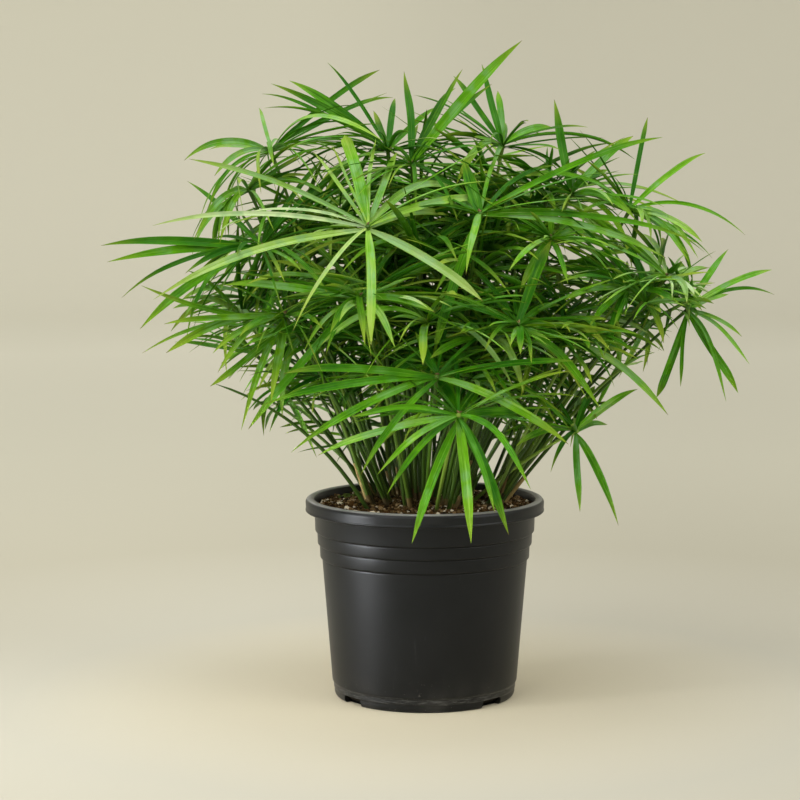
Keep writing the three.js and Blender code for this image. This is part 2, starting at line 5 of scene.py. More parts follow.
import bpy
import numpy as np
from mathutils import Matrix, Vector


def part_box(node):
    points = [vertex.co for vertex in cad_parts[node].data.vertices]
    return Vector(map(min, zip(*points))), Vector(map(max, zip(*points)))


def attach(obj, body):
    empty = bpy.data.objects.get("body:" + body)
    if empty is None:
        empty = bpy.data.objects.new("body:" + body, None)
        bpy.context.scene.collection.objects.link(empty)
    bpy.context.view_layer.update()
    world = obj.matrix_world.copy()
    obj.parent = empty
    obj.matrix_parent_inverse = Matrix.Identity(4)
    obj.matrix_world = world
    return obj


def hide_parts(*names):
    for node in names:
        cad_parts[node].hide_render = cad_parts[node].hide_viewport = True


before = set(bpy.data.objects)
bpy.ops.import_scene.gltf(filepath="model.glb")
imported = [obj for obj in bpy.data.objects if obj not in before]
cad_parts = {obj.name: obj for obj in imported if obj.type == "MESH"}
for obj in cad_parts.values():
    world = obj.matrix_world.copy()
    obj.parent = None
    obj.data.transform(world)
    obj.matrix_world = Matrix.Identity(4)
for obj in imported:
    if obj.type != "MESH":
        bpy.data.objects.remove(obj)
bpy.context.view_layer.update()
MM = 0.001
UP = np.array([0.0, 0.0, 1.0])

# Pot
POT_HEIGHT = 202
RIM_RADIUS = 120
RIM_BAND = 14
RIM_CREST = 115
RIM_INNER = 111
BODY_TOP_RADIUS = 111.3
STEP_HEIGHTS = [140, 154, 167]
STEP_DEPTH = 2.1
BODY_SLOPE = 0.035
STEP_RISE = 3
FOOT_RADIUS = 91.5
FOOT_BAND = 14
CONTACT_RADIUS = 88.5
WALL = 2.6
FLOOR = 3
POT_SIDES = 180
NOTCH_HEADINGS = [-133, -53, 47, 127]
NOTCH_WIDTH = 27
NOTCH_HEIGHT = 8
NOTCH_REACH = 16

# Soil
SOIL_EDGE = 194
SOIL_RADIUS = 108.3
SOIL_MOUND = 5
SOIL_BUMP = 1.2
SOIL_WAVE = 0.12
SOIL_PHASES = (1, 0.6)
GRANULES = 5200
MOSS_MIDDLE = (-78, 40)
MOSS_RADIUS = 17

# Stems
STEM_STATIONS = [0, 0.34, 0.68, 0.95, 1]
KNOB_RADIUS = 3.4
STEM_RADII = [2.6, 2.4, 2, 1.7, KNOB_RADIUS]
STEM_SUNK = 14
STEM_BOW = 0.08
STEM_BOW_SEARCH = 0.0025
CROWN_RADIUS = 80
CROWN_SHARE = 0.31
FOOT_SPREAD = 8
FOOT_SEARCH = 1.6
STEM_TRIES = 120

# Blades
BLADE_STATIONS = [0, 0.2, 0.5, 0.8, 1]
BLADE_PROFILE = [0, 0.66, 1, 0.64, 0]
BLADE_KEEL = 1.1
BLADE_WIDTH = 7.2
BLADE_CLEAR = 1.1
BLADE_NEAR = 16
BLADE_TRIES = 36
BLADE_COUNT = 7
ROOT_SUNK = 2
ROOT_STEP = 1.1
EQUAL_GAP = 1e-6
PLAN_SLACK = 0.5
READ_LEAN = 0.75
READ_FACING = 0.9
READ_DEPTH_SEARCH = 5
READ_BOW_SEARCH = 0.008
RULE = {
    "hub_tilt": 0.0022,
    "turn": 0.3,
    "turn_search": 0.5,
    "shortest": 0.8,
    "longest": 1.2,
    "shorten_search": 0.45,
    "lift_spread": 0.6,
    "droop_least": 0.15,
    "droop_spread": 0.8,
    "roll": 0.9,
    "narrowest": 0.75,
    "widest": 1.25,
    "elbow": 0.55,
}
CANOPY_MIDDLE = np.array([25.0, 0.0, 373.0])
CANOPY_RADII = np.array([280.0, 270.0, 245.0])
CANOPY_LOWEST = 235
CANOPY_FOOT = 130
CANOPY_FLARE = 0.95
RIM_CLEAR_RADIUS = 134
RIM_CLEAR_HEIGHT = 215

# The eye that the front stems were read from, which is the camera's place too,
# and how far the readings' zero is above the pot's underside
EYE = np.array([-25.0, -2420.0, 565.0])
READ_RISE = 3
EYE_PITCH = 6.25
EYE_FOCAL = 2420
PICTURE_WIDTH = 800
SENSOR = 36

# Front stems, each its hub, the reach of its blades and their tips.
# A hub is (across, up, depth behind the upright plane through the pot's axis).
# A tip is (across, up, blade width, bow), read on that plane from the eye.
FRONT_STEMS = [
    ([-57, 470, -150], 165, [
        [58, 399, 11, 0.09], [-54, 354, 9, 0.18], [-133, 369, 4, 0.2], [-272, 404, 8, 0.09],
        [-272, 476, 5, 0.09], [-235, 540, 5, 0.07], [-112, 548, 4, 0.04], [-80, 564, 12, 0.03],
        [-49, 562, 4, 0.03], [-28, 548, 7, 0.05], [41, 502, 7, 0.34], [69, 500, 8, 0.12],
        [22, 485, 8, 0.1]]),
    ([55, 483, -110], 160, [
        [38, 540, 12, 0.03], [8, 344, 10, 0.12], [41, 427, 7, 0.2], [276, 457, 6, 0.13],
        [241, 442, 7, 0.12], [236, 564, 6, 0.07], [72, 545, 4, 0.05], [-13, 516, 6, 0.24],
        [-20, 495, 6, 0.2]]),
    ([12, 320, -190], 140, [
        [-142, 328, 8, 0.07], [-165, 294, 8, 0.1], [-135, 246, 8, 0.12], [-65, 224, 6, 0.14],
        [145, 252, 8, 0.16], [-10, 367, 8, 0.06], [62, 352, 7, 0.1], [150, 337, 6, 0.08]]),
    ([34, 281, -200], 135, [
        [-13, 152, 9, 0.15], [47, 155, 10, 0.15], [85, 160, 10, 0.16], [71, 185, 5, 0.2],
        [-38, 203, 6, 0.18], [-48, 222, 6, 0.14], [-108, 242, 7, 0.12], [-74, 280, 5, 0.1],
        [107, 208, 6, 0.3], [105, 282, 8, 0.1], [5, 325, 8, 0.06], [55, 317, 7, 0.06]]),
    ([152, 265, -60], 110, [
        [196, 171, 8, 0.24], [157, 184, 7, 0.14], [127, 226, 5, 0.2], [184, 272, 6, 0.1],
        [214, 310, 8, 0.08], [92, 252, 7, 0.16], [124, 296, 7, 0.08], [171, 312, 7, 0.08]]),
    ([263, 388, -20], 110, [
        [303, 450, 7, 0.05], [347, 429, 6, 0.1], [350, 405, 4, 0.2], [304, 404, 6, 0.06],
        [318, 363, 4, 0.1], [326, 334, 4, 0.16], [315, 306, 8, 0.12], [303, 298, 5, 0.32],
        [233, 300, 8, -0.14], [257, 312, 4, 0.14], [255, 439, 11, 0.03], [205, 412, 7, 0.16]]),
    ([203, 409, -80], 100, [
        [140, 400, 6, 0.14], [165, 372, 7, 0.14], [180, 342, 9, 0.14], [140, 440, 6, 0.1],
        [147, 425, 8, 0.08], [202, 438, 4, 0.06], [255, 395, 6, 0.16], [235, 427, 6, 0.1]]),
    ([94, 372, -150], 110, [
        [90, 407, 7, 0.06], [126, 460, 10, 0.05], [177, 289, 8, 0.16], [96, 345, 7, 0.2],
        [55, 381, 7, 0.12], [60, 347, 4, 0.3], [137, 394, 7, 0.12]]),
    ([139, 357, -100], 100, [
        [245, 282, 7, 0.26], [55, 339, 4, 0.12], [185, 372, 5, 0.12], [135, 322, 7, 0.2]]),
    ([125, 459, -90], 90, [
        [143, 415, 5, 0.2], [84, 471, 7, 0.1], [95, 407, 7, 0.18], [175, 465, 7, 0.12]]),
    ([145, 503, -30], 110, [
        [128, 598, 9, 0.03], [207, 564, 8, 0.06], [183, 528, 7, 0.1], [210, 480, 7, 0.28]]),
    ([204, 487, -20], 120, [
        [221, 582, 5, 0.03], [279, 547, 6, 0.08], [320, 466, 4, 0.26], [277, 457, 6, 0.22],
        [264, 436, 5, 0.26], [273, 441, 4, 0.32]]),
    ([-13, 532, -40], 130, [
        [-21, 625, 8, 0.03], [37, 628, 5, 0.06], [96, 658, 11, 0.05], [66, 613, 7, 0.08],
        [30, 610, 7, 0.2], [16, 593, 5, 0.06]]),
    ([-37, 546, 0], 130, [
        [-135, 619, 10, 0.05], [-153, 614, 8, 0.07], [-162, 606, 4, 0.12], [-160, 590, 4, 0.2],
        [-97, 637, 4, 0.05], [-30, 601, 7, 0.08], [12, 590, 6, 0.1]]),
    ([77, 550, 20], 110, [
        [56, 633, 7, 0.04], [28, 622, 6, 0.06], [127, 571, 7, 0.12], [72, 606, 7, 0.05],
        [66, 592, 8, 0.05], [209, 541, 5, 0.26]]),
    ([-140, 381, -110], 130, [
        [-284, 413, 5, -0.12], [-262, 375, 6, 0.06], [-260, 346, 8, 0.16],
        [-155, 297, 9, 0.08], [-185, 268, 7, 0.22], [-208, 326, 5, 0.24], [-102, 370, 5, 0.14],
        [-284, 347, 4, 0.14], [-213, 347, 6, 0.14], [-216, 314, 6, -0.16]]),
    ([-64, 399, -140], 120, [
        [-201, 416, 8, 0.08], [10, 386, 7, 0.14], [-95, 367, 7, 0.16], [-40, 440, 7, 0.06],
        [-30, 350, 7, 0.2], [-178, 268, 8, 0.08]]),
    ([-163, 450, -60], 150, [
        [-324, 455, 9, 0.06], [-318, 437, 9, 0.06], [-304, 404, 5, 0.2], [-286, 371, 9, 0.15],
        [-240, 425, 7, 0.12], [-237, 519, 6, 0.02]]),
    ([-153, 545, 20], 150, [
        [-240, 539, 7, 0.26], [-210, 523, 6, 0.2], [-165, 592, 4, 0.03], [-215, 548, 5, 0.12],
        [-45, 630, 6, 0.05], [-32, 602, 5, 0.14]]),
    ([-175, 507, 0], 110, [
        [-231, 458, 7, 0.34], [-205, 457, 6, 0.36]]),
]

# Hidden stems, in arcs about the pot's axis: headings are degrees from +X towards +Y
HIDDEN_ARCS = [
    {"count": 10, "radius": 198, "up": 388, "from": 2, "to": 172, "reach": 150},
    {"count": 7, "radius": 118, "up": 488, "from": 20, "to": 165, "reach": 150},
    {"count": 5, "radius": 165, "up": 303, "from": 22, "to": 158, "reach": 125},
    {"count": 6, "radius": 66, "up": 428, "from": -120, "to": 180, "reach": 130},
    {"count": 5, "radius": 134, "up": 388, "from": -155, "to": -25, "reach": 120},
    {"count": 3, "radius": 205, "up": 418, "from": -38, "to": 8, "reach": 120},
]
HIDDEN_WIDEN = 1.1
HIDDEN_NARROW = 0.9
HIDDEN_TURN = 8
HIDDEN_RADIUS_SPREAD = 0.24
HIDDEN_UP_SPREAD = 50
FRONT_LIFT = 0.4
YOUNGEST_LIFT = 0.8
OLDEST_LIFT = 0.1

# Bare young shoots: points are (across, up, depth)
SHOOTS = [
    [[-58, 203, -50], [-112, 281, -70], [-210, 313, -80]],
    [[24, 201, -62], [40, 262, -92], [44, 322, -104]],
]
SHOOT_STATIONS = [0, 0.35, 0.7, 0.97]
SHOOT_RADII = [2.2, 1.9, 1.5, 1.1]
SHOOT_RINGS = 14
SHOOT_TIP = 0.2
SHOOT_TONE = (0.3, 0.2)

SEED = 20431
EXTRA_SEED = 90911
SIBLING_SEED = 5501
SIBLING = {
    "turn": 0.9,
    "lowest": 0.45,
    "highest": 0.98,
    "inner": 0.5,
    "outer": 1.05,
    "offset": 5,
    "short": 0.5,
    "long": 0.85,
    "blades": 15,
    "fewest": 9,
    "hidden": 2,
    "front": -70,
    "within": 0.74,
    "narrow": 0.75,
}

# What the scene adds to each whorl
WHORL_BLADES = 31
EXTRA_TRIES = 14
EXTRA_NARROW = 0.42
EXTRA_WIDE = 0.95
STRAIGHT_END = 0.6
STRAIGHT_MIDDLE = 0.45
FRONT_EXTRA_SHARE = 0.82
STAR_STEMS = 4
STAR_CLEAR = 5
# Painted shade: how much darker blades deep in the canopy and upright blades are made
DEEP_PAINTED_SHADE = 0.52
UPRIGHT_PAINTED_SHADE = 0.46


# The plan: repeatable random numbers between 0 and 1
def make_draw(seed):
    state = [seed]

    def draw():
        state[0] = (state[0] * 16807) % 2147483647
        return state[0] / 2147483647

    return draw


def mix(low, high, share):
    return low + (high - low) * share


def unit(vector):
    return vector / (np.linalg.norm(vector) or 1)


def unit_rows(vectors):
    return vectors / np.linalg.norm(vectors, axis=1, keepdims=True)


def on_sight(across, up, depth):
    grow = (depth - EYE[1]) / -EYE[1]
    height = EYE[2] + (up + READ_RISE - EYE[2]) * grow
    return np.array([EYE[0] + (across - EYE[0]) * grow, depth, height])


def bowed(start, end, bow):
    return start + (end - start) * 0.5 + UP * bow * np.linalg.norm(end - start)


def bezier(a, b, c, t):
    t = np.asarray(t, float)[:, None]
    return (1 - t) ** 2 * a + 2 * (1 - t) * t * b + t * t * c


def space_between(one, two):
    """Free space between every pair of segments, each a bar with a flat width across it."""
    a = (one["q"] - one["p"])[:, None]
    b = (two["q"] - two["p"])[None]
    r = one["p"][:, None] - two["p"][None]
    aa, bb, ab = (a * a).sum(-1), (b * b).sum(-1), (a * b).sum(-1)
    ar, br = (a * r).sum(-1), (b * r).sum(-1)
    flat = aa * bb - ab * ab
    safe = np.where(flat > 1e-9, flat, 1)
    s = np.where(flat > 1e-9, np.clip((ab * br - ar * bb) / safe, 0, 1), 0)
    t = (ab * s + br) / bb
    s = np.where(t < 0, np.clip(-ar / aa, 0, 1), s)
    s = np.where(t > 1, np.clip((ab - ar) / aa, 0, 1), s)
    t = np.clip(t, 0, 1)
    way = b * t[..., None] - r - a * s[..., None]
    length = np.linalg.norm(way, axis=-1)
    way = way / np.maximum(length, 1e-6)[..., None]
    first = one["half"][:, None] * np.abs((one["lateral"][:, None] * way).sum(-1))
    second = two["half"][None] * np.abs((two["lateral"][None] * way).sum(-1))
    return length - first - one["body"][:, None] - second - two["body"][None]


class Standing:
    """The segments of everything that is placed, and who owns them."""

    def __init__(self, size=4000):
        self.count = 0
        self.owner = np.zeros(size, int)
        self.rows = {key: np.zeros((size, 3)) for key in ("p", "q", "lateral")}
        self.rows.update({key: np.zeros(size) for key in ("half", "body")})

    def keep(self, segments, owner):
        count = len(segments["half"])
        for key, value in segments.items():
            self.rows[key][self.count:self.count + count] = value
        self.owner[self.count:self.count + count] = owner
        self.count += count

    def is_clear(self, segments, owner):
        rows = {key: value[:self.count] for key, value in self.rows.items()}
        low = np.minimum(segments["p"], segments["q"]).min(0) - BLADE_NEAR
        high = np.maximum(segments["p"], segments["q"]).max(0) + BLADE_NEAR
        near = (np.maximum(rows["p"], rows["q"]) > low).all(1)
        near &= (np.minimum(rows["p"], rows["q"]) < high).all(1)
        near &= self.owner[:self.count] != owner
        if not near.any():
            return True
        others = {key: value[near] for key, value in rows.items()}
        return bool((space_between(segments, others) >= BLADE_CLEAR).all())


standing = Standing()


def soil_height(x, y):
    share = np.minimum(1, np.hypot(x, y) / SOIL_RADIUS)
    bump = np.sin(x * SOIL_WAVE + SOIL_PHASES[0]) * np.cos(y * SOIL_WAVE - SOIL_PHASES[1])
    return SOIL_EDGE + SOIL_MOUND * (1 - share * share) + SOIL_BUMP * bump * (1 - share ** 4)


def sunk_line(base, middle, end, stations):
    points = bezier(base, middle, end, stations)
    first = unit(points[1] - points[0])
    points[0] = base - first * STEM_SUNK
    return points


def shoot_points(readings, stations):
    base, middle, tip = (on_sight(*reading) for reading in readings)
    base[2] = soil_height(base[0], base[1])
    return sunk_line(base, middle, tip, stations)


def bar_segments(points, radii):
    count = len(points) - 1
    return {
        "p": points[:-1],
        "q": points[1:],
        "lateral": np.tile(UP, (count, 1)),
        "half": np.zeros(count),
        "body": np.maximum(radii[:-1], radii[1:]).astype(float),
    }


def blade_frames(blade, t, roll):
    """Across and upward directions of a blade at the shares t of its curve."""
    t = np.asarray(t, float)[:, None]
    roll = np.broadcast_to(np.asarray(roll, float).reshape(-1, 1), t.shape)
    root, middle, tip = blade["root"], blade["middle"], blade["tip"]
    along = unit_rows((middle - root) * (1 - t) + (tip - middle) * t)
    side = unit(np.array([tip[1] - root[1], root[0] - tip[0], 0.0]))
    top = unit_rows(np.cross(np.broadcast_to(side, along.shape), along))
    flat = np.cross(along, top)
    lateral = flat * np.cos(roll) + top * np.sin(roll)
    return lateral, top * np.cos(roll) - flat * np.sin(roll)


def blade_points(blade):
    return bezier(blade["root"], blade["middle"], blade["tip"], BLADE_STATIONS)


def blade_segments(blade):
    points = blade_points(blade)
    stations = np.array(BLADE_STATIONS)
    profile = np.array(BLADE_PROFILE)
    lateral, _ = blade_frames(blade, (stations[:-1] + stations[1:]) / 2, blade["roll"])
    return {
        "p": points[:-1],
        "q": points[1:],
        "lateral": lateral,
        "half": blade["half"] * np.maximum(profile[:-1], profile[1:]),
        "body": np.full(len(points) - 1, BLADE_KEEL),
    }


def clears_pot(points):
    return bool(((np.hypot(points[:, 0], points[:, 1]) > RIM_CLEAR_RADIUS)
                 | (points[:, 2] > RIM_CLEAR_HEIGHT)).all())


def inside_canopy(point):
    height = point[2] - CANOPY_LOWEST
    flared = math.hypot(point[0], point[1]) < CANOPY_FOOT + CANOPY_FLARE * height
    return np.linalg.norm((point - CANOPY_MIDDLE) / CANOPY_RADII) < 1 and height > 0 and flared


def try_blade(stem, blade):
    segments = blade_segments(blade)
    if not clears_pot(blade_points(blade)) or not standing.is_clear(segments, stem["owner"]):
        return False
    standing.keep(segments, stem["owner"])
    stem["blades"].append(blade)
    return True


def root_of(stem, tip, order):
    heading = tip - stem["hub"]
    heading[2] = 0
    return stem["hub"] - unit(heading) * ROOT_SUNK + UP * ((order % 3) - 1) * ROOT_STEP


def add_read_blade(stem, reading, order, draw):
    """Front blade: its tip stays on its sight line; only its depth and bow are searched."""
    across, up, width, bow = reading
    hub_across, hub_up, depth = stem["read"]
    span = math.hypot(across - hub_across, up - hub_up)
    lean = READ_LEAN * math.sqrt(max(0, stem["reach"] ** 2 - span ** 2))
    towards = -1 if up < hub_up else 1
    for attempt in range(BLADE_TRIES):
        shift = (draw() - 0.5) * READ_DEPTH_SEARCH * attempt
        tip = on_sight(across, up, depth + towards * lean + shift)
        root = root_of(stem, tip, order)
        middle = bowed(root, tip, bow + (draw() - 0.5) * READ_BOW_SEARCH * attempt)
        roll = READ_FACING * (root[0] - tip[0]) / np.linalg.norm(root - tip)
        blade = {"root": root, "middle": middle, "tip": tip, "half": width / 2, "roll": roll,
                 "read": True}
        if attempt == 0:
            first = blade
        if try_blade(stem, blade):
            return
    stem["extra"].append(first)


def rule_blade(stem, heading, order, draw, ease):
    """Blade by rule: heading about the stem's end, rising first and then drooping."""
    hub = stem["hub"]
    axis = unit(np.array([hub[0] * RULE["hub_tilt"], hub[1] * RULE["hub_tilt"], 1.0]))
    east = unit(np.cross(np.array([0.0, 1.0, 0.0]), axis))
    north = np.cross(axis, east)
    turn = heading + (draw() - 0.5) * (RULE["turn"] + RULE["turn_search"] * ease)
    share = mix(RULE["shortest"], RULE["longest"], draw()) * (1 - RULE["shorten_search"] * ease)
    reach = stem["reach"] * share
    lift = stem["lift"] + (draw() - 0.5) * RULE["lift_spread"]
    fall = lift - RULE["droop_least"] - RULE["droop_spread"] * draw()
    roll = mix(-RULE["roll"], RULE["roll"], draw())
    width = BLADE_WIDTH * mix(RULE["narrowest"], RULE["widest"], draw())
    out = east * math.cos(turn) + north * math.sin(turn)
    tip = hub + out * reach * math.cos(fall) + axis * reach * math.sin(fall)
    root = root_of(stem, tip, order)
    elbow = RULE["elbow"] * reach
    middle = hub + out * elbow * math.cos(lift) + axis * elbow * math.sin(lift)
    return {"root": root, "middle": middle, "tip": tip, "half": width / 2, "roll": roll}


def add_rule_blade(stem, heading, order, draw):
    for attempt in range(BLADE_TRIES):
        blade = rule_blade(stem, heading, order, draw, attempt / BLADE_TRIES)
        if inside_canopy(blade["tip"]) and try_blade(stem, blade):
            return


def open_heading(used):
    """The middle of the widest gap between the headings in use, the first of equal ones."""
    ordered = sorted(used)
    best, widest = ordered[0], 0
    for i, heading in enumerate(ordered):
        following = ordered[i + 1] if i + 1 < len(ordered) else ordered[0] + 2 * math.pi
        if following - heading > widest + EQUAL_GAP:
            widest = following - heading
            best = heading + widest / 2
    return best - 2 * math.pi if best > math.pi else best


def plant_stem(number, hub, draw):
    for attempt in range(STEM_TRIES):
        spread = FOOT_SPREAD + FOOT_SEARCH * attempt
        x = hub[0] * CROWN_SHARE + (draw() - 0.5) * spread
        y = hub[1] * CROWN_SHARE + (draw() - 0.5) * spread
        bow = STEM_BOW + (draw() - 0.5) * STEM_BOW_SEARCH * attempt
        if math.hypot(x, y) > CROWN_RADIUS:
            continue
        base = np.array([x, y, soil_height(x, y)])
        middle = bowed(base, hub, bow)
        points = sunk_line(base, middle, hub, STEM_STATIONS)
        segments = bar_segments(points, STEM_RADII)
        if standing.is_clear(segments, number):
            standing.keep(segments, number)
            return {"name": f"leafy_stem_{number:02d}", "owner": number, "hub": hub,
                    "line": (points[0], base, middle, hub), "blades": [], "extra": [], "siblings": []}
    raise RuntimeError(f"no free place for stem {number}")


def plan_stems():
    draw = make_draw(SEED)
    stems = []
    for read, reach, tips in FRONT_STEMS:
        stem = plant_stem(len(stems) + 1, on_sight(*read), draw)
        stem.update(read=read, reach=reach, tips=tips, lift=FRONT_LIFT)
        stems.append(stem)
    for arc in HIDDEN_ARCS:
        for i in range(arc["count"]):
            even = mix(arc["from"], arc["to"], (i + 0.5) / arc["count"])
            heading = math.radians(even + (draw() - 0.5) * HIDDEN_TURN)
            radius = arc["radius"] * (1 + (draw() - 0.5) * HIDDEN_RADIUS_SPREAD)
            hub = np.array([
                radius * HIDDEN_WIDEN * math.cos(heading),
                radius * HIDDEN_NARROW * math.sin(heading),
                arc["up"] + (draw() - 0.5) * HIDDEN_UP_SPREAD,
            ])
            stem = plant_stem(len(stems) + 1, hub, draw)
            lift = mix(OLDEST_LIFT, YOUNGEST_LIFT, draw())
            stem.update(reach=arc["reach"], tips=[], lift=lift)
            stems.append(stem)
    for stem in stems:
        for order, reading in enumerate(stem["tips"]):
            add_read_blade(stem, reading, order, draw)
    for stem in stems:
        used = headings_of(stem)
        turn = 2 * math.pi * draw() - math.pi
        for order in range(len(stem["tips"]), BLADE_COUNT):
            even = turn + (2 * math.pi * order) / BLADE_COUNT
            heading = open_heading(used) if stem["tips"] else even
            add_rule_blade(stem, heading, order, draw)
            used.append(heading)
    return stems


def headings_of(stem):
    return [math.atan2(b["tip"][1] - stem["hub"][1], b["tip"][0] - stem["hub"][0])
            for b in stem["blades"]]


def check_plan(stems):
    """The plan is the one that the solids were made from: each tip is in its node's box."""
    for stem in stems:
        low, high = (np.array(corner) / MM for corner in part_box(stem["name"]))
        for blade in stem["blades"]:
            if (blade["tip"] < low - PLAN_SLACK).any() or (blade["tip"] > high + PLAN_SLACK).any():
                raise RuntimeError(f"{stem['name']} is not where its solid is")


def shorten(blade, share):
    for key in ("middle", "tip"):
        blade[key] = mix(blade["root"], blade[key], share)


def straighten(blade, share):
    """Takes some droop out of a blade: its end rises and its middle nears the straight line."""
    ahead = 2 * blade["middle"] - blade["root"]
    blade["tip"] = mix(blade["tip"], ahead, share * STRAIGHT_END)
    straight = (blade["root"] + blade["tip"]) / 2
    blade["middle"] = mix(blade["middle"], straight, share * STRAIGHT_MIDDLE)


def add_extra_blades(stems):
    """Fills each whorl with the finer blades that the solids leave out."""
    draw = make_draw(EXTRA_SEED)
    for stem in stems:
        used = headings_of(stem)
        for order in range(len(stem["blades"]) + len(stem["extra"]), WHORL_BLADES):
            heading = open_heading(used)
            used.append(heading)
            for attempt in range(EXTRA_TRIES):
                blade = rule_blade(stem, heading, order, draw, attempt / EXTRA_TRIES)
                blade["half"] *= mix(EXTRA_NARROW, EXTRA_WIDE, draw())
                straighten(blade, draw())
                if stem["tips"]:
                    shorten(blade, FRONT_EXTRA_SHARE)
                    blade["half"] *= FRONT_EXTRA_SHARE
                if stem["owner"] <= STAR_STEMS and blade["tip"][1] < stem["hub"][1] - STAR_CLEAR:
                    break
                if inside_canopy(blade["tip"]) and clears_pot(blade_points(blade)):
                    stem["extra"].append(blade)
                    break


def add_siblings(stems):
    """Shorter stems beside those inside the clump, from the same root, with small whorls."""
    draw = make_draw(SIBLING_SEED)
    behind = [stem for stem in stems if not stem["tips"]] * SIBLING["hidden"]
    behind += [stem for stem in stems if stem["tips"] and stem["hub"][1] > SIBLING["front"]]
    for stem in behind:
        _, base, _, hub = stem["line"]
        turn = (draw() - 0.5) * SIBLING["turn"]
        spin = np.array([[math.cos(turn), -math.sin(turn)], [math.sin(turn), math.cos(turn)]])
        height = base[2] + (hub[2] - base[2]) * mix(SIBLING["lowest"], SIBLING["highest"], draw())
        top = np.append(spin @ hub[:2] * mix(SIBLING["inner"], SIBLING["outer"], draw()), height)
        heading = 2 * math.pi * draw()
        foot = base + SIBLING["offset"] * np.array([math.cos(heading), math.sin(heading), 0])
        foot[2] = soil_height(foot[0], foot[1])
        middle = bowed(foot, top, STEM_BOW)
        first = unit(middle - foot)
        sibling = {"hub": top, "line": (foot - first * STEM_SUNK, foot, middle, top), "extra": [],
                   "reach": stem["reach"] * mix(SIBLING["short"], SIBLING["long"], draw()),
                   "lift": mix(OLDEST_LIFT, YOUNGEST_LIFT, draw()), "tips": []}
        for order in range(SIBLING["blades"]):
            even = heading + 2 * math.pi * order / SIBLING["blades"]
            for attempt in range(EXTRA_TRIES):
                blade = rule_blade(sibling, even, order, draw, attempt / EXTRA_TRIES)
                straighten(blade, draw())
                if inside_canopy(blade["tip"]) and clears_pot(blade_points(blade)):
                    sibling["extra"].append(blade)
                    break
        inner = np.linalg.norm((top - CANOPY_MIDDLE) / CANOPY_RADII) < SIBLING["within"]
        if inner and inside_canopy(top) and len(sibling["extra"]) >= SIBLING["fewest"]:
            stem["siblings"].append(sibling)


LEAF_SHARP = 50


def put(name, data):
    """Adds an object to the scene."""
    made = bpy.data.objects.new(name, data)
    bpy.context.scene.collection.objects.link(made)
    return made


def circle(sides):
    angle = 2 * math.pi * np.arange(sides) / sides
    return np.cos(angle), np.sin(angle)


def ring_faces(count, size):
    """The vertex numbers of rings of points, and the faces between neighbouring rings."""
    index = np.arange(count * size).reshape(count, size)
    after = np.roll(index, -1, axis=1)
    return index, np.stack([index[:-1], after[:-1], after[1:], index[1:]], -1).reshape(-1, 4)


def ring_map(across, along):
    """The leaf map of rings: each point's share across and along."""
    u, v = np.meshgrid(across, along)
    return np.stack([u.ravel(), v.ravel()], -1)


def flat_tint(count, *values):
    return np.tile(np.array(values, float), (count, 1))


class Shape:
    """Collects vertices, faces, a leaf map and a tint, and makes one mesh of them."""

    def __init__(self):
        self.verts, self.faces, self.maps, self.tints, self.slots = [], [], [], [], []
        self.count = 0

    def add(self, verts, faces, leaf_map, tint, slot=0):
        self.verts.append(np.asarray(verts, float))
        self.maps.append(np.asarray(leaf_map, float))
        self.tints.append(np.asarray(tint, float))
        for group in faces:
            self.faces.extend((np.asarray(group) + self.count).tolist())
            self.slots.extend([slot] * len(group))
        self.count += len(verts)

    def rings(self, rings, leaf_map, tint, slot=0):
        """A tube through rings of points, capped at both ends."""
        index, quads = ring_faces(*rings.shape[:2])
        self.add(rings.reshape(-1, 3), [quads, [index[0][::-1], index[-1]]], leaf_map, tint, slot)

    def build(self, name, materials, sharp=LEAF_SHARP):
        mesh = bpy.data.meshes.new(name)
        mesh.from_pydata((np.concatenate(self.verts) * MM).tolist(), [], self.faces)
        loops = np.zeros(len(mesh.loops), int)
        mesh.loops.foreach_get("vertex_index", loops)
        layer = mesh.uv_layers.new(name="leaf")
        layer.uv.foreach_set("vector", np.concatenate(self.maps)[loops].ravel())
        tint = mesh.attributes.new("tint", "FLOAT_COLOR", "POINT")
        tint.data.foreach_set("color", np.concatenate(self.tints).ravel())
        mesh.polygons.foreach_set("material_index", self.slots)
        smooth(mesh, sharp)
        self.mark_folds(mesh)
        for material in materials:
            mesh.materials.append(material)
        return put(name, mesh)

    def mark_folds(self, mesh):
        """A crisp fold along the middle of each blade's upper face."""
        u = np.concatenate(self.maps)[:, 0]
        under = np.concatenate(self.tints)[:, 3]
        folded = (u == 0.5) & (under == 0)
        ends = np.zeros(len(mesh.edges) * 2, int)
        mesh.edges.foreach_get("vertices", ends)
        sharp = mesh.attributes.get("sharp_edge")
        sharp = sharp or mesh.attributes.new("sharp_edge", "BOOLEAN", "EDGE")
        marks = np.zeros(len(mesh.edges), bool)
        sharp.data.foreach_get("value", marks)
        sharp.data.foreach_set("value", marks | folded[ends].reshape(-1, 2).all(1))


def smooth(mesh, sharp):
    """Smooth shading, but for edges sharper than this many degrees."""
    mesh.polygons.foreach_set("use_smooth", [True] * len(mesh.polygons))
    mesh.set_sharp_from_angle(angle=math.radians(sharp))


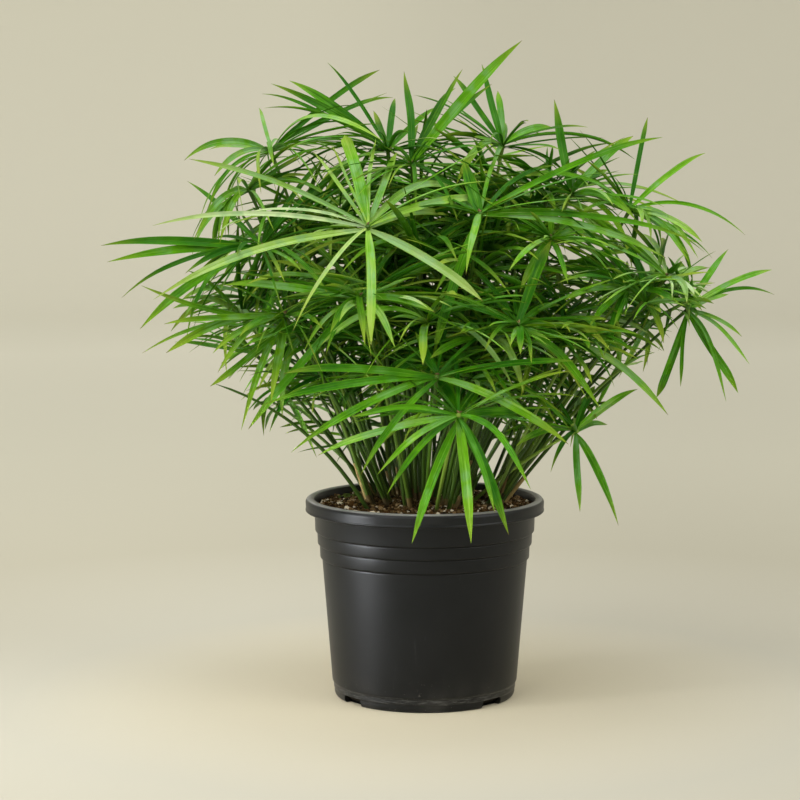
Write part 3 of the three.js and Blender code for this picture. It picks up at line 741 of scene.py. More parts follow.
# Blade: a thin channelled strap, eight points round and a ring at every station
BLADE_SLOT, STEM_SLOT, DRY_SLOT = 0, 1, 2
COLUMNS = np.array([0, 0.55, 1, 0.55, 0, -0.55, -1, -0.55])
UNDER = np.array([0, 0, 0.5, 1, 1, 1, 0.5, 0])
BLADE_RINGS = 17
ROOT_CROWDING = 0.94
CHANNEL = 0.44
CHANNEL_FADE = 0.4
THICKNESS = 0.5
EDGE_THICKNESS = 0.28
THINNER_BELOW = 1.5
SLIMMEST = 0.08
FINE_WIDEN = 0.95
FACE_SHARE = 0.7
ROOT_WIDTH = 0.34
FULL_WIDTH = 0.36
TIP_ROUNDNESS = 1.6
TAPER = (0.55, 0.80)
PLAIN_TWIST = 0.12
FREE_TWIST = 0.3
UNTWISTED = 0.35
SWAY = 0.010
RIPPLE = 0.5
RIPPLE_TURNS = (5, 9)
RIPPLE_SHIFT = 6
SAG = 0.03
SAG_FROM = 0.7
AGEING_RARITY = 3.5
READ_AGEING = 0.35
MIDDLE_SHADE = (0.5, 0.2)


def blade_width(t, taper):
    rise = mix(ROOT_WIDTH, 1, np.sin(np.clip(t / FULL_WIDTH, 0, 1) * math.pi / 2))
    fall = 1 - np.clip((t - taper) / (1 - taper), 0, 1) ** TIP_ROUNDNESS
    return rise * fall


def facing_roll(blade):
    """The roll that turns a blade's flat side towards the eye."""
    lateral, top = blade_frames(blade, [0.5], 0)
    sight = unit(blade["middle"] - EYE)
    flat = np.cross(sight, unit(blade["tip"] - blade["root"]))
    angle = math.atan2(flat @ top[0], flat @ lateral[0])
    return angle - math.copysign(math.pi, angle) if abs(angle) > math.pi / 2 else angle


def add_blade(shape, blade, random, plain):
    t = np.linspace(0, 1, BLADE_RINGS) ** ROOT_CROWDING
    read = "read" in blade
    length = np.linalg.norm(blade["tip"] - blade["root"])
    twist = random.normal(0, PLAIN_TWIST if plain else FREE_TWIST)
    roll = mix(blade["roll"], facing_roll(blade), FACE_SHARE) if read else blade["roll"]
    lateral, top = blade_frames(blade, t, roll + twist * (t - UNTWISTED))
    sway = random.normal(0, SWAY) * length * np.sin(t * math.pi) ** 2
    ripple = random.normal(0, RIPPLE) * np.sin(t * random.uniform(*RIPPLE_TURNS)
                                               + random.uniform(0, RIPPLE_SHIFT))
    sag = random.uniform(0, SAG) * length * np.clip((t - SAG_FROM) / (1 - SAG_FROM), 0, 1) ** 2
    line = bezier(blade["root"], blade["middle"], blade["tip"], t)
    line = line + lateral * sway[:, None] + top * (ripple * np.sin(t * math.pi))[:, None]
    line = line - UP * sag[:, None]
    taper = blade.get("taper", random.uniform(*TAPER))
    half = np.maximum(FINE_WIDEN * blade["half"] * blade_width(t, taper), SLIMMEST)
    depth = CHANNEL * half * (1 - CHANNEL_FADE * t)
    across = COLUMNS[None] * half[:, None]
    height = -(1 - np.abs(COLUMNS)[None]) * depth[:, None]
    thick = np.where(np.abs(COLUMNS) == 1, EDGE_THICKNESS / 2, THICKNESS)[None]
    height = height - UNDER[None] * thick * np.minimum(1, half / THINNER_BELOW)[:, None]
    rings = line[:, None] + lateral[:, None] * across[..., None] + top[:, None] * height[..., None]
    shade = np.clip(blade.get("shade", random.normal(*MIDDLE_SHADE)), 0, 1)
    ageing = random.uniform() ** AGEING_RARITY * (READ_AGEING if read else 1)
    yellow = min(1, ageing + blade.get("yellow", 0))
    leaf_map = ring_map(0.5 + 0.5 * COLUMNS, t)
    tint = flat_tint(len(leaf_map), shade, yellow, random.uniform(), 0)
    tint[:, 3] = np.tile(UNDER, len(t))
    shape.rings(rings, leaf_map, tint, BLADE_SLOT)


def add_tube(shape, points, radii, sides, tint, slot):
    """A round tube along the points, with a radius at each of them."""
    along = unit_rows(np.gradient(points, axis=0))
    u = unit_rows(np.cross(np.array([0.0, 1.0, 0.0]), along))
    v = np.cross(along, u)
    cosines, sines = circle(sides)
    ring = u[:, None] * cosines[None, :, None] + v[:, None] * sines[None, :, None]
    rings = points[:, None] + ring * np.asarray(radii, float).reshape(-1, 1, 1)
    leaf_map = ring_map(np.arange(sides) / sides, np.linspace(0, 1, len(points)))
    shape.rings(rings, leaf_map, flat_tint(len(leaf_map), *tint), slot)


# Stems, with the dry sheaths at their feet and the flower tufts in their whorls
STEM_SIDES = 10
STEM_RINGS = 18
FINE_STATIONS = [0, 0.34, 0.68, 0.93, 1]
FINE_RADII = [1.95, 1.8, 1.6, 1.45, 2.1]
HUB_END = [(1.8, 2.5), (3.4, 0.5)]
TAN_SHEATHS = 0.14
SHEATHS = {
    True: {"height": (20, 44), "shade": (0.45, 0.85)},
    False: {"height": (4, 14), "shade": (-0.2, 0.25)},
}
SHEATH_RADII = np.linspace(2.5, 2.15, 7)
SHEATH_SUNK = 3
TUFT_RISE = 2.5
TUFT_RAYS = (4, 8)
TUFT_LEAN = (0.4, 1.3)
TUFT_LENGTH = (2.0, 4.8)
TUFT_RADII = [0.5, 0.4, 0.8, 0.9, 0.2]
TUFT_SIDES = 6
TUFT_SAG = 0.8
TUFT_SHADE = (0.1, 0.7)


def add_sheath(shape, points, random):
    """A papery sleeve about the foot: a few are tall and tan, most are short and dark."""
    look = SHEATHS[random.uniform() < TAN_SHEATHS]
    height = random.uniform(*look["height"])
    run = np.concatenate([[0], np.cumsum(np.linalg.norm(np.diff(points, axis=0), axis=1))])
    steps = np.linspace(STEM_SUNK - SHEATH_SUNK, STEM_SUNK + height, len(SHEATH_RADII))
    sleeve = np.stack([np.interp(steps, run, points[:, axis]) for axis in range(3)], -1)
    tint = (random.uniform(*look["shade"]), 1, random.uniform(), 0)
    add_tube(shape, sleeve, SHEATH_RADII, STEM_SIDES, tint, DRY_SLOT)


def add_stem(shape, stem, random):
    """The bare stem, swelling a little into the hub, with a dry sheath at its foot."""
    foot, base, middle, end = stem["line"]
    points = np.vstack([foot, bezier(base, middle, end, np.linspace(0, 1, STEM_RINGS))])
    radii = np.interp(np.linspace(0, 1, len(points)), FINE_STATIONS, FINE_RADII)
    ahead = unit(points[-1] - points[-2])
    points = np.vstack([points, *(points[-1] + ahead * rise for rise, _ in HUB_END)])
    radii = np.append(radii, [radius for _, radius in HUB_END])
    dry = random.uniform() ** 3
    tint = (np.clip(random.normal(*MIDDLE_SHADE), 0, 1), dry, random.uniform(), 0)
    add_tube(shape, points, radii, STEM_SIDES, tint, STEM_SLOT)
    add_sheath(shape, points, random)


def add_flower_tuft(shape, stem, random):
    """Short brown rays with tiny scaled heads in the middle of the whorl."""
    hub = stem["hub"] + UP * TUFT_RISE
    steps = np.linspace(0, 1, len(TUFT_RADII))[:, None]
    for _ in range(int(random.integers(*TUFT_RAYS))):
        angle = random.uniform(0, 2 * math.pi)
        lean = random.uniform(*TUFT_LEAN)
        out = np.array([math.cos(angle) * math.cos(lean), math.sin(angle) * math.cos(lean),
                        math.sin(lean)])
        length = random.uniform(*TUFT_LENGTH)
        points = hub + out * length * steps - UP * TUFT_SAG * steps ** 2
        tint = (random.uniform(*TUFT_SHADE), 1, random.uniform(), 0)
        add_tube(shape, points, TUFT_RADII, TUFT_SIDES, tint, DRY_SLOT)


# Materials
class Value:
    """A number or colour in a shader that takes part in sums and products."""

    def __init__(self, shader, socket):
        self.shader = shader
        self.socket = socket

    def __add__(self, other):
        return self.shader.math("ADD", self, other)

    def __sub__(self, other):
        return self.shader.math("SUBTRACT", self, other)

    def __mul__(self, other):
        return self.shader.math("MULTIPLY", self, other)


class Shader:
    """Makes a material out of nodes. An input's name has _ for each space."""

    def __init__(self, name):
        self.material = bpy.data.materials.new(name)
        self.material.use_nodes = True
        self.tree = self.material.node_tree
        self.tree.nodes.clear()

    def node(self, kind, settings=None, **inputs):
        node = self.tree.nodes.new("ShaderNode" + kind)
        for key, value in (settings or {}).items():
            setattr(node, key, value)
        for key, value in inputs.items():
            self.set(node.inputs[key.replace("_", " ")], value)
        return node

    def outputs(self, kind, settings=None, **inputs):
        node = self.node(kind, settings, **inputs)
        return [Value(self, socket) for socket in node.outputs]

    def set(self, socket, value):
        if isinstance(value, Value):
            self.tree.links.new(value.socket, socket)
        else:
            socket.default_value = value

    def math(self, operation, *values):
        node = self.node("Math", {"operation": operation})
        for socket, value in zip(node.inputs, values):
            self.set(socket, value)
        return Value(self, node.outputs[0])

    def mix(self, share, one, two):
        node = self.node("Mix", {"data_type": "RGBA"})
        for index, value in ((0, share), (6, one), (7, two)):
            self.set(node.inputs[index], (*value, 1) if isinstance(value, tuple) else value)
        return Value(self, node.outputs[2])

    def coats(self, colour, *coats):
        """Lays coats over a colour, one after another, each a share and a colour."""
        for share, coat in coats:
            colour = self.mix(share, colour, coat)
        return colour

    def range(self, value, low, high, to_low=0.0, to_high=1.0):
        return self.outputs("MapRange", {"interpolation_type": "SMOOTHSTEP"}, Value=value,
                            From_Min=low, From_Max=high, To_Min=to_low, To_Max=to_high)[0]

    def ramp(self, value, *stops):
        node = self.node("ValToRGB", Fac=value)
        ramp = node.color_ramp
        while len(ramp.elements) < len(stops):
            ramp.elements.new(0.5)
        for element, (place, colour) in zip(ramp.elements, stops):
            element.position = place
            element.color = (*colour, 1)
        return Value(self, node.outputs[0])

    def noise(self, vector, scale, detail=3.0, roughness=0.55):
        return self.outputs("TexNoise", Vector=vector, Scale=scale, Detail=detail,
                            Roughness=roughness)[0]

    def position(self):
        node = self.node("TexCoord")
        return Value(self, node.outputs["Object"])

    def stretched(self, vector, scale):
        return self.outputs("Mapping", Vector=vector, Scale=scale)[0]

    def leaf_map(self):
        place = self.outputs("UVMap", {"uv_map": "leaf"})[0]
        return self.outputs("SeparateXYZ", Vector=place)[:2]

    def tint(self):
        node = self.node("Attribute", {"attribute_name": "tint"})
        colour, alpha = (Value(self, node.outputs[key]) for key in ("Color", "Alpha"))
        return [*self.outputs("SeparateColor", Color=colour)[:3], alpha]

    def streaks(self, scales, detail, roughness=0.55):
        """Noise drawn out along a blade or stem, with its own pattern for each seed."""
        places = (*self.leaf_map(), self.tint()[2])
        x, y, z = (place * scale for place, scale in zip(places, scales))
        return self.noise(self.outputs("CombineXYZ", X=x, Y=y, Z=z)[0], 1.0, detail, roughness)

    def bump(self, height, strength, distance):
        return self.outputs("Bump", Height=height, Strength=strength, Distance=distance)[0]

    def skin(self, colour, rough, shine=0.5, tint=(1, 1, 1), **inputs):
        return self.outputs("BsdfPrincipled", Base_Color=colour, Roughness=rough,
                            Specular_IOR_Level=shine, Specular_Tint=(*tint, 1), **inputs)[0]

    def finish(self, surface):
        self.node("OutputMaterial", Surface=surface)
        return self.material


def blade_material():
    s = Shader("blade_green")
    across, along = s.leaf_map()
    shade, yellow, seed, under = s.tint()
    off_middle = s.math("ABSOLUTE", across - 0.5)
    streaks = s.streaks((9.0, 2.0, 40.0), 5.0, 0.65)
    patches = s.noise(s.position(), 30.0)
    value = shade + (streaks - 0.5) * 0.95 + (patches - 0.5) * 0.62
    green = s.ramp(value, (0.0, (0.010, 0.125, 0.0005)), (0.40, (0.125, 0.435, 0.005)),
                   (0.68, (0.390, 0.680, 0.150)), (1.0, (0.680, 0.860, 0.580)))
    warm = s.ramp(value, (0.0, (0.030, 0.105, 0.001)), (0.40, (0.185, 0.385, 0.004)),
                  (0.68, (0.420, 0.580, 0.050)), (1.0, (0.660, 0.760, 0.300)))
    deep = s.range(seed, 0.60, 0.95) * 0.5
    # Painted sheen: pale bluish patches, strongest on pale blades, fading towards the tips and the
    # edges
    painted_sheen = (s.range(s.noise(s.position(), 48.0, 2.0), 0.42, 0.60)
             * s.range(value, 0.15, 0.50, 0.05, 0.62)
             * s.range(along, 0.55, 0.95, 1.0, 0.15)
             * s.range(off_middle, 0.32, 0.46, 1.0, 0.3))
    veins = s.math("SINE", across * 44.0)
    fine = s.math("SINE", across * 132.0)
    # Pale vein lines, real veins, made stronger on pale blades as a painted sheen
    pale = s.range(veins, 0.0, 1.0) * s.range(value, 0.30, 0.9, 0.0, 0.34)
    lit = s.range(value, 0.05, 0.60, 0.3, 1.0)
    rib = s.range(off_middle, 0.012, 0.05, 0.35, 0.0) * lit
    ageing = s.range(along + yellow * 0.3, 0.74, 1.16) * 0.7
    edge = s.range(off_middle, 0.42, 0.5, 0.0, 0.5) * lit
    burnt = s.range(along, 0.965, 0.995) * s.range(seed, 0.35, 0.6) * 0.8
    colour = s.coats(
        green,
        (yellow, warm),
        (deep, (0.030, 0.185, 0.006)),
        (painted_sheen, (0.235, 0.475, 0.225)),
        (pale, (0.480, 0.660, 0.230)),
        (rib, (0.36, 0.54, 0.11)),
        (ageing, (0.34, 0.45, 0.040)),
        (edge, (0.330, 0.520, 0.050)),
        (burnt, (0.16, 0.085, 0.03)),
        (under * 0.25, (0.10, 0.35, 0.010)),
    )
    normal = s.bump(veins * 0.6 + fine * 0.3 + streaks * 1.4, 0.45, 0.0004)
    rough = (streaks + under) * 0.13 + 0.30
    skin = s.skin(colour, rough, 0.16, (0.80, 1.0, 0.50), Normal=normal)
    glow = s.mix(0.2, colour, (0.32, 0.62, 0.02))
    both = s.node("MixShader", Fac=0.18)
    s.set(both.inputs[1], skin)
    s.set(both.inputs[2], s.outputs("BsdfTranslucent", Color=glow, Normal=normal)[0])
    return s.finish(Value(s, both.outputs[0]))


def stem_material():
    s = Shader("stem_green")
    across, along = s.leaf_map()
    shade, dry, _, _ = s.tint()
    streaks = s.streaks((9.0, 5.0, 30.0), 4.0)
    green = s.ramp(shade + (streaks - 0.5) * 0.7, (0.0, (0.012, 0.038, 0.002)),
                   (0.5, (0.050, 0.125, 0.007)), (1.0, (0.200, 0.330, 0.040)))
    brown = s.ramp(streaks, (0.2, (0.040, 0.030, 0.010)), (0.8, (0.150, 0.112, 0.034)))
    reach = along + streaks * 0.18
    limit = dry * 0.20
    foot = s.math("LESS_THAN", reach, limit) * 0.6
    soft = s.range(reach - limit, -0.12, 0.1, 1.0, 0.0) * 0.7
    # Painted shade: the stems grow darker towards the soil
    colour = s.coats(green, (s.range(along, 0.0, 0.45, 0.75, 0.0), (0.022, 0.040, 0.004)),
                     (s.math("MAXIMUM", soft, foot), brown))
    ribs = s.math("SINE", across * 94.2)
    return s.finish(s.skin(colour, 0.42, 0.25, Normal=s.bump(ribs + streaks, 0.3, 0.0004)))


def dry_material():
    s = Shader("dry_sheath")
    streaks = s.streaks((12.0, 2.0, 30.0), 5.0)
    colour = s.ramp(s.tint()[0] * 0.6 + streaks * 0.6, (0.1, (0.022, 0.018, 0.006)),
                    (0.55, (0.150, 0.098, 0.026)), (0.95, (0.42, 0.31, 0.11)))
    return s.finish(s.skin(colour, 0.75, Normal=s.bump(streaks, 0.5, 0.0006)))


def pot_material():
    s = Shader("pot_black_plastic")
    rim, band = POT_HEIGHT * MM, FOOT_BAND * MM
    place = s.position()
    height = s.outputs("SeparateXYZ", Vector=place)[2]
    cloud = s.noise(place, 22.0, 5.0)
    fine = s.noise(place, 900.0, 2.0)
    scuffs = s.noise(s.stretched(place, (260, 260, 22)), 1.0, 4.0, 0.7)
    rubs = s.noise(s.stretched(place, (80, 80, 900)), 1.0, 4.0, 0.7)
    scuffed = s.range(scuffs, 0.62, 0.78)
    low = s.range(height, 0.006, 0.040, 1.0, 0.0)
    dust = low * s.range(cloud, 0.42, 0.68)
    specks = low * s.range(s.noise(place, 420.0, 2.0), 0.68, 0.74)
    # Painted sheen: the rim's band grows lighter towards its top
    rim_band_painted_sheen = s.range(height, rim - 0.0135, rim - 0.0025) * s.range(cloud, 0.45, 0.8)
    # Painted highlight: a bright line along the top edge of the rim
    crest_painted_highlight = s.range(height, rim - 0.002, rim - 0.001) * s.range(cloud, 0.2, 0.7, 0.5, 0.9)
    bead = s.range(height, band - 0.0065, band - 0.0055)
    bead = bead * s.range(height, band + 0.0005, band + 0.0015, 1.0, 0.0)
    colour = s.coats(
        s.ramp(cloud, (0.3, (0.0034, 0.0037, 0.0041)), (0.7, (0.0056, 0.0060, 0.0065))),
        (scuffed * 0.16, (0.060, 0.062, 0.066)),
        (dust * 0.14, (0.11, 0.105, 0.095)),
        (specks * 0.5, (0.16, 0.15, 0.14)),
        (rim_band_painted_sheen * 0.14, (0.085, 0.085, 0.085)),
        (crest_painted_highlight, (0.300, 0.300, 0.292)),
        (bead * s.range(rubs, 0.44, 0.70) * 0.45, (0.150, 0.150, 0.146)),
    )
    rough = (cloud + scuffed) * 0.12 + 0.33
    normal = s.bump(fine * 0.4 + scuffs * 0.6, 0.10, 0.0006)
    return s.finish(s.skin(colour, rough, 0.27, (0.90, 0.94, 1.0), Normal=normal))


# Painted shade: near-black, nearly unshiny plastic for the pot's recessed faces low inside the foot
def recess_painted_shade_material():
    s = Shader("pot_recess_painted_shade")
    grain = s.noise(s.position(), 300.0)
    colour = s.ramp(grain, (0.3, (0.0012, 0.0012, 0.0012)), (0.7, (0.0024, 0.0024, 0.0024)))
    return s.finish(s.skin(colour, 0.9, 0.02))


def soil_material():
    s = Shader("bark_granules")
    shade, warm, _, moss = s.tint()
    grain = s.noise(s.position(), 700.0, 5.0, 0.7)
    brown = s.ramp(shade + (grain - 0.5) * 0.8, (0.0, (0.005, 0.003, 0.001)),
                   (0.42, (0.105, 0.062, 0.021)), (0.72, (0.360, 0.240, 0.120)),
                   (0.98, (0.92, 0.82, 0.66)))
    dark = s.range(shade, 0.5, 0.7, 0.5, 0.0) * s.range(warm, 0.4, 1.0)
    colour = s.coats(brown, (dark, (0.120, 0.052, 0.014)), (moss, (0.075, 0.13, 0.02)))
    return s.finish(s.skin(colour, 0.85, 0.12, Normal=s.bump(grain, 0.9, 0.0012)))


def stage_material():
    s = Shader("stage_paper")
    aside, away, _ = s.outputs("SeparateXYZ", Vector=s.position())
    radius = s.math("SQRT", aside * aside + away * away)
    # Painted light: the paper is paler close round the pot, darkest about a metre out and paler again
    # far away, where the lamps reach less
    place = (radius + s.noise(s.position(), 1.4, 2.0) * 0.1) * 0.125
    colour = s.ramp(place, (0.016, (0.780, 0.715, 0.545)), (0.034, (0.640, 0.600, 0.480)),
                    (0.058, (0.525, 0.512, 0.440)), (0.120, (0.486, 0.470, 0.386)),
                    (0.250, (0.585, 0.576, 0.486)), (0.500, (0.762, 0.756, 0.662)),
                    (0.800, (0.786, 0.778, 0.687)))
    # Painted shadow: the paper darkens towards +X, more on the floor near the pot than far out
    painted_shade_right = s.range(aside, -0.5, 0.5) * s.range(radius, 0.8, 2.0, 0.17, 0.10)
    return s.finish(s.skin(s.mix(painted_shade_right, colour, (0.0, 0.0, 0.0)), 0.9, 0.1))


LEAFY_LOOKS = [blade_material(), stem_material(), dry_material()]
POT_LOOKS = [pot_material(), recess_painted_shade_material()]
BARK = soil_material()
STAGE_PAPER = stage_material()


# Pot: the same profile as its solid, with rounded corners and finer ledges
GROOVE = 0.3
GROOVE_HEIGHT = 1.0
LEDGE_RISE = 1.5
ROUNDING = 0.8
ROUNDING_POINTS = 3
ROUNDING_SHARE = 0.45
NOTCH_CORNER = 2.5
NOTCH_BELOW = 4
FOOT_INSET = 1
POT_SHARP = 38


def rounded(profile):
    """Replaces each inner corner of an open profile with a short curve."""
    points = [np.array(p, float) for p in profile]
    made = [points[0]]
    for before, corner, after in zip(points, points[1:], points[2:]):
        one, two = (
            corner + unit(end - corner) * min(ROUNDING, np.linalg.norm(end - corner) * ROUNDING_SHARE)
            for end in (before, after))
        made.extend(bezier(one, corner, two, np.linspace(0, 1, ROUNDING_POINTS)))
    made.append(points[-1])
    return np.array(made)


def outer_wall():
    """The wall's outline from the foot band up, as its solid has it."""
    radius, below = BODY_TOP_RADIUS, POT_HEIGHT - RIM_BAND
    points = [[radius, below]]
    for height in reversed(STEP_HEIGHTS):
        radius -= (below - height - STEP_RISE) * BODY_SLOPE
        points.append([radius, height + STEP_RISE])
        radius -= STEP_DEPTH
        points.append([radius, height])
        below = height
    points.append([FOOT_RADIUS + 2.2, FOOT_BAND + 2])
    return points[::-1]


def grooved_wall():
    """The same outline with crisper ledges and a shallow groove under each of them."""
    made = []
    for i, (radius, height) in enumerate(outer_wall()):
        if i in (1, 3, 5):
            made.append([radius, height - GROOVE_HEIGHT])
            made.append([radius - GROOVE, height])
        elif i in (2, 4, 6):
            made.append([radius, height - STEP_RISE + LEDGE_RISE])
        else:
            made.append([radius, height])
    return made


def pot_profile():
    """Up the outside, over the rim and down the inside, each point a radius and a height."""
    outside = outer_wall()
    inside = [[outside[i][0] - WALL, outside[i][1]] for i in (7, 5, 3, 1, 0)]
    rim_foot = POT_HEIGHT - RIM_BAND
    return rounded([
        [0, 0], [CONTACT_RADIUS, 0], [FOOT_RADIUS - 1, 1.2], [FOOT_RADIUS, 4],
        [FOOT_RADIUS + 0.1, FOOT_BAND - 6], [FOOT_RADIUS + 0.7, FOOT_BAND - 5.4],
        [FOOT_RADIUS + 0.7, FOOT_BAND - 0.6], [FOOT_RADIUS + 1.5, FOOT_BAND + 0.4],
        *grooved_wall(),
        [RIM_RADIUS - 0.9, rim_foot], [RIM_RADIUS + 0.5, rim_foot + 0.9],
        [RIM_RADIUS + 0.5, rim_foot + 2.2], [RIM_RADIUS, rim_foot + 3],
        [RIM_RADIUS + 0.4, POT_HEIGHT - 4], [RIM_RADIUS - 0.8, POT_HEIGHT - 1.6],
        [RIM_CREST + 2, POT_HEIGHT - 0.3],
        [RIM_CREST, POT_HEIGHT], [RIM_INNER + 1, POT_HEIGHT - 1], [RIM_INNER, POT_HEIGHT - 4],
        *inside,
        [FOOT_RADIUS - WALL, FLOOR + 3], [CONTACT_RADIUS - WALL, FLOOR], [0, FLOOR],
    ])


def turned_mesh(name, profile, sides):
    """A profile turned about Z, with a single point at each end on the axis."""
    ring = np.stack(circle(sides), -1)
    inner = profile[1:-1]
    verts = np.concatenate([
        np.concatenate([ring * r, np.full((sides, 1), z)], -1) for r, z in inner])
    verts = np.vstack([verts, [0, 0, profile[0][1]], [0, 0, profile[-1][1]]])
    index, quads = ring_faces(len(inner), sides)
    first, last = len(verts) - 2, len(verts) - 1
    caps = [[first, b, a] for a, b in zip(index[0], np.roll(index[0], -1))]
    caps += [[last, a, b] for a, b in zip(index[-1], np.roll(index[-1], -1))]
    mesh = bpy.data.meshes.new(name)
    mesh.from_pydata((verts * MM).tolist(), [], quads.tolist() + caps)
    return put(name, mesh)


def notch_cutters():
    """Round-cornered blocks at the pot's bottom edge, in one mesh."""
    shape = Shape()
    half = NOTCH_WIDTH / 2
    flat, shoulder = half - NOTCH_CORNER, NOTCH_HEIGHT - NOTCH_CORNER
    outline = [(-half, -NOTCH_BELOW), (half, -NOTCH_BELOW), (half, shoulder)]
    outline += [(flat + NOTCH_CORNER * math.cos(a), shoulder + NOTCH_CORNER * math.sin(a))
                for a in np.linspace(0, math.pi / 2, 5)[1:]]
    outline += [(-x, z) for x, z in reversed(outline[3:])]
    outline += [(-half, shoulder)]
    for degrees in NOTCH_HEADINGS:
        a = math.radians(degrees - 90)
        out = np.array([math.cos(a), math.sin(a), 0])
        side = np.array([-math.sin(a), math.cos(a), 0])
        rings = np.array([[out * (FOOT_RADIUS - FOOT_INSET + reach) + side * x + UP * z
                           for x, z in outline]
                          for reach in (-NOTCH_REACH / 2, NOTCH_REACH / 2)])
        count = rings.shape[0] * rings.shape[1]
        shape.rings(rings, np.zeros((count, 2)), flat_tint(count, 0, 0, 0, 0))
    return shape.build("notch_cutters", [])


def build_pot():
    pot = turned_mesh("pot_fine", pot_profile(), POT_SIDES)
    cutters = notch_cutters()
    cut = pot.modifiers.new("notches", "BOOLEAN")
    cut.operation = "DIFFERENCE"
    cut.solver = "EXACT"
    cut.object = cutters
    depsgraph = bpy.context.evaluated_depsgraph_get()
    done = bpy.data.meshes.new_from_object(pot.evaluated_get(depsgraph))
    pot.modifiers.clear()
    pot.data = done
    bpy.data.objects.remove(cutters)
    done.materials.clear()
    for material in POT_LOOKS:
        done.materials.append(material)
    # The faces inside the foot and low down take the near-black material as painted shade
    for face in done.polygons:
        inner = math.hypot(*face.center[:2]) < (CONTACT_RADIUS - 1) * MM
        face.material_index = int(inner and face.center[2] < (NOTCH_HEIGHT + 1) * MM)
    smooth(done, POT_SHARP)
    return pot


# Soil: a rough bed under loose granules, with the same top as the soil's solid
BED_SEED = 5
BED_RINGS = 30
BED_SIDES = 96
BED_BELOW = 1.4
BED_ROUGHNESS = 0.5
BED_GAP = 1
BED_EDGE = 0.4
BED_MIDDLE = 1.5
BED_SHADE = 0.35
# The bed's side rings, seen through the notches, are darkened as painted shade
BED_SIDE_PAINTED_SHADE = (-0.3, 0)
LUMP_SEED = 11
LUMP_EDGE = 1.5
LUMP_STEM_GAP = 3.2
LUMP_SIZE = (5.0, 0.34)
LUMP_LIMITS = (0.35, 3.6)
LUMP_WIDTH = (0.55, 1)
LUMP_HEIGHT = (0.35, 0.8)
LUMP_ROUGHNESS = 0.16
LUMP_LEAN = 0.5
LUMP_SHARP = 30
LUMP_RISE = (-1.2, 1.0)
LUMP_SHADE = (0.0, 0.50)
PALE_LUMPS = [(0.26, (0.50, 0.75)), (0.09, (0.90, 1.10))]
MOSS_EDGE = (0.4, 1.1)
MOSS_COVER = 0.8


def build_soil():
    shape = Shape()
    cosines, sines = circle(BED_SIDES)
    radii = np.linspace(SOIL_RADIUS - BED_EDGE, BED_MIDDLE, BED_RINGS)[:, None]
    random = np.random.default_rng(BED_SEED)
    x, y = radii * cosines[None], radii * sines[None]
    z = soil_height(x, y) - BED_BELOW + random.normal(0, BED_ROUGHNESS, x.shape)
    wall = outer_wall()
    outline = [(CONTACT_RADIUS, FLOOR + 0.4), (FOOT_RADIUS, FLOOR + 4), wall[1], wall[3], wall[5]]
    side = [np.stack([cosines * (radius - WALL - BED_GAP), sines * (radius - WALL - BED_GAP),
                      np.full(BED_SIDES, height)], -1) for radius, height in outline]
    body = np.concatenate([np.array(side), np.stack([x, y, z], -1)])
    count = body.shape[0] * BED_SIDES
    tint = np.stack([random.uniform(0, BED_SHADE, count), random.uniform(0, 1, count),
                     random.uniform(0, 1, count), np.zeros(count)], -1)
    # Painted shade: the side rings take the darkest, unwarmed tint
    tint[:len(side) * BED_SIDES, :2] = BED_SIDE_PAINTED_SHADE
    shape.rings(body, np.zeros((count, 2)), tint)
    return shape.build("soil_bed", [BARK])


def icosahedron():
    g = (1 + math.sqrt(5)) / 2
    verts = np.array([(-1, g, 0), (1, g, 0), (-1, -g, 0), (1, -g, 0), (0, -1, g), (0, 1, g),
                      (0, -1, -g), (0, 1, -g), (g, 0, -1), (g, 0, 1), (-g, 0, -1), (-g, 0, 1)])
    faces = np.array([(0, 11, 5), (0, 5, 1), (0, 1, 7), (0, 7, 10), (0, 10, 11), (1, 5, 9),
                      (5, 11, 4), (11, 10, 2), (10, 7, 6), (7, 1, 8), (3, 9, 4), (3, 4, 2),
                      (3, 2, 6), (3, 6, 8), (3, 8, 9), (4, 9, 5), (2, 4, 11), (6, 2, 10),
                      (8, 6, 7), (9, 8, 1)])
    return verts / np.linalg.norm(verts[0]), faces


def lump_shade(random):
    """Most lumps are dark; a few are pale and very few are nearly white."""
    shade = random.uniform(*LUMP_SHADE)
    for share, shades in PALE_LUMPS:
        if random.uniform() < share:
            shade = random.uniform(*shades)
    return shade


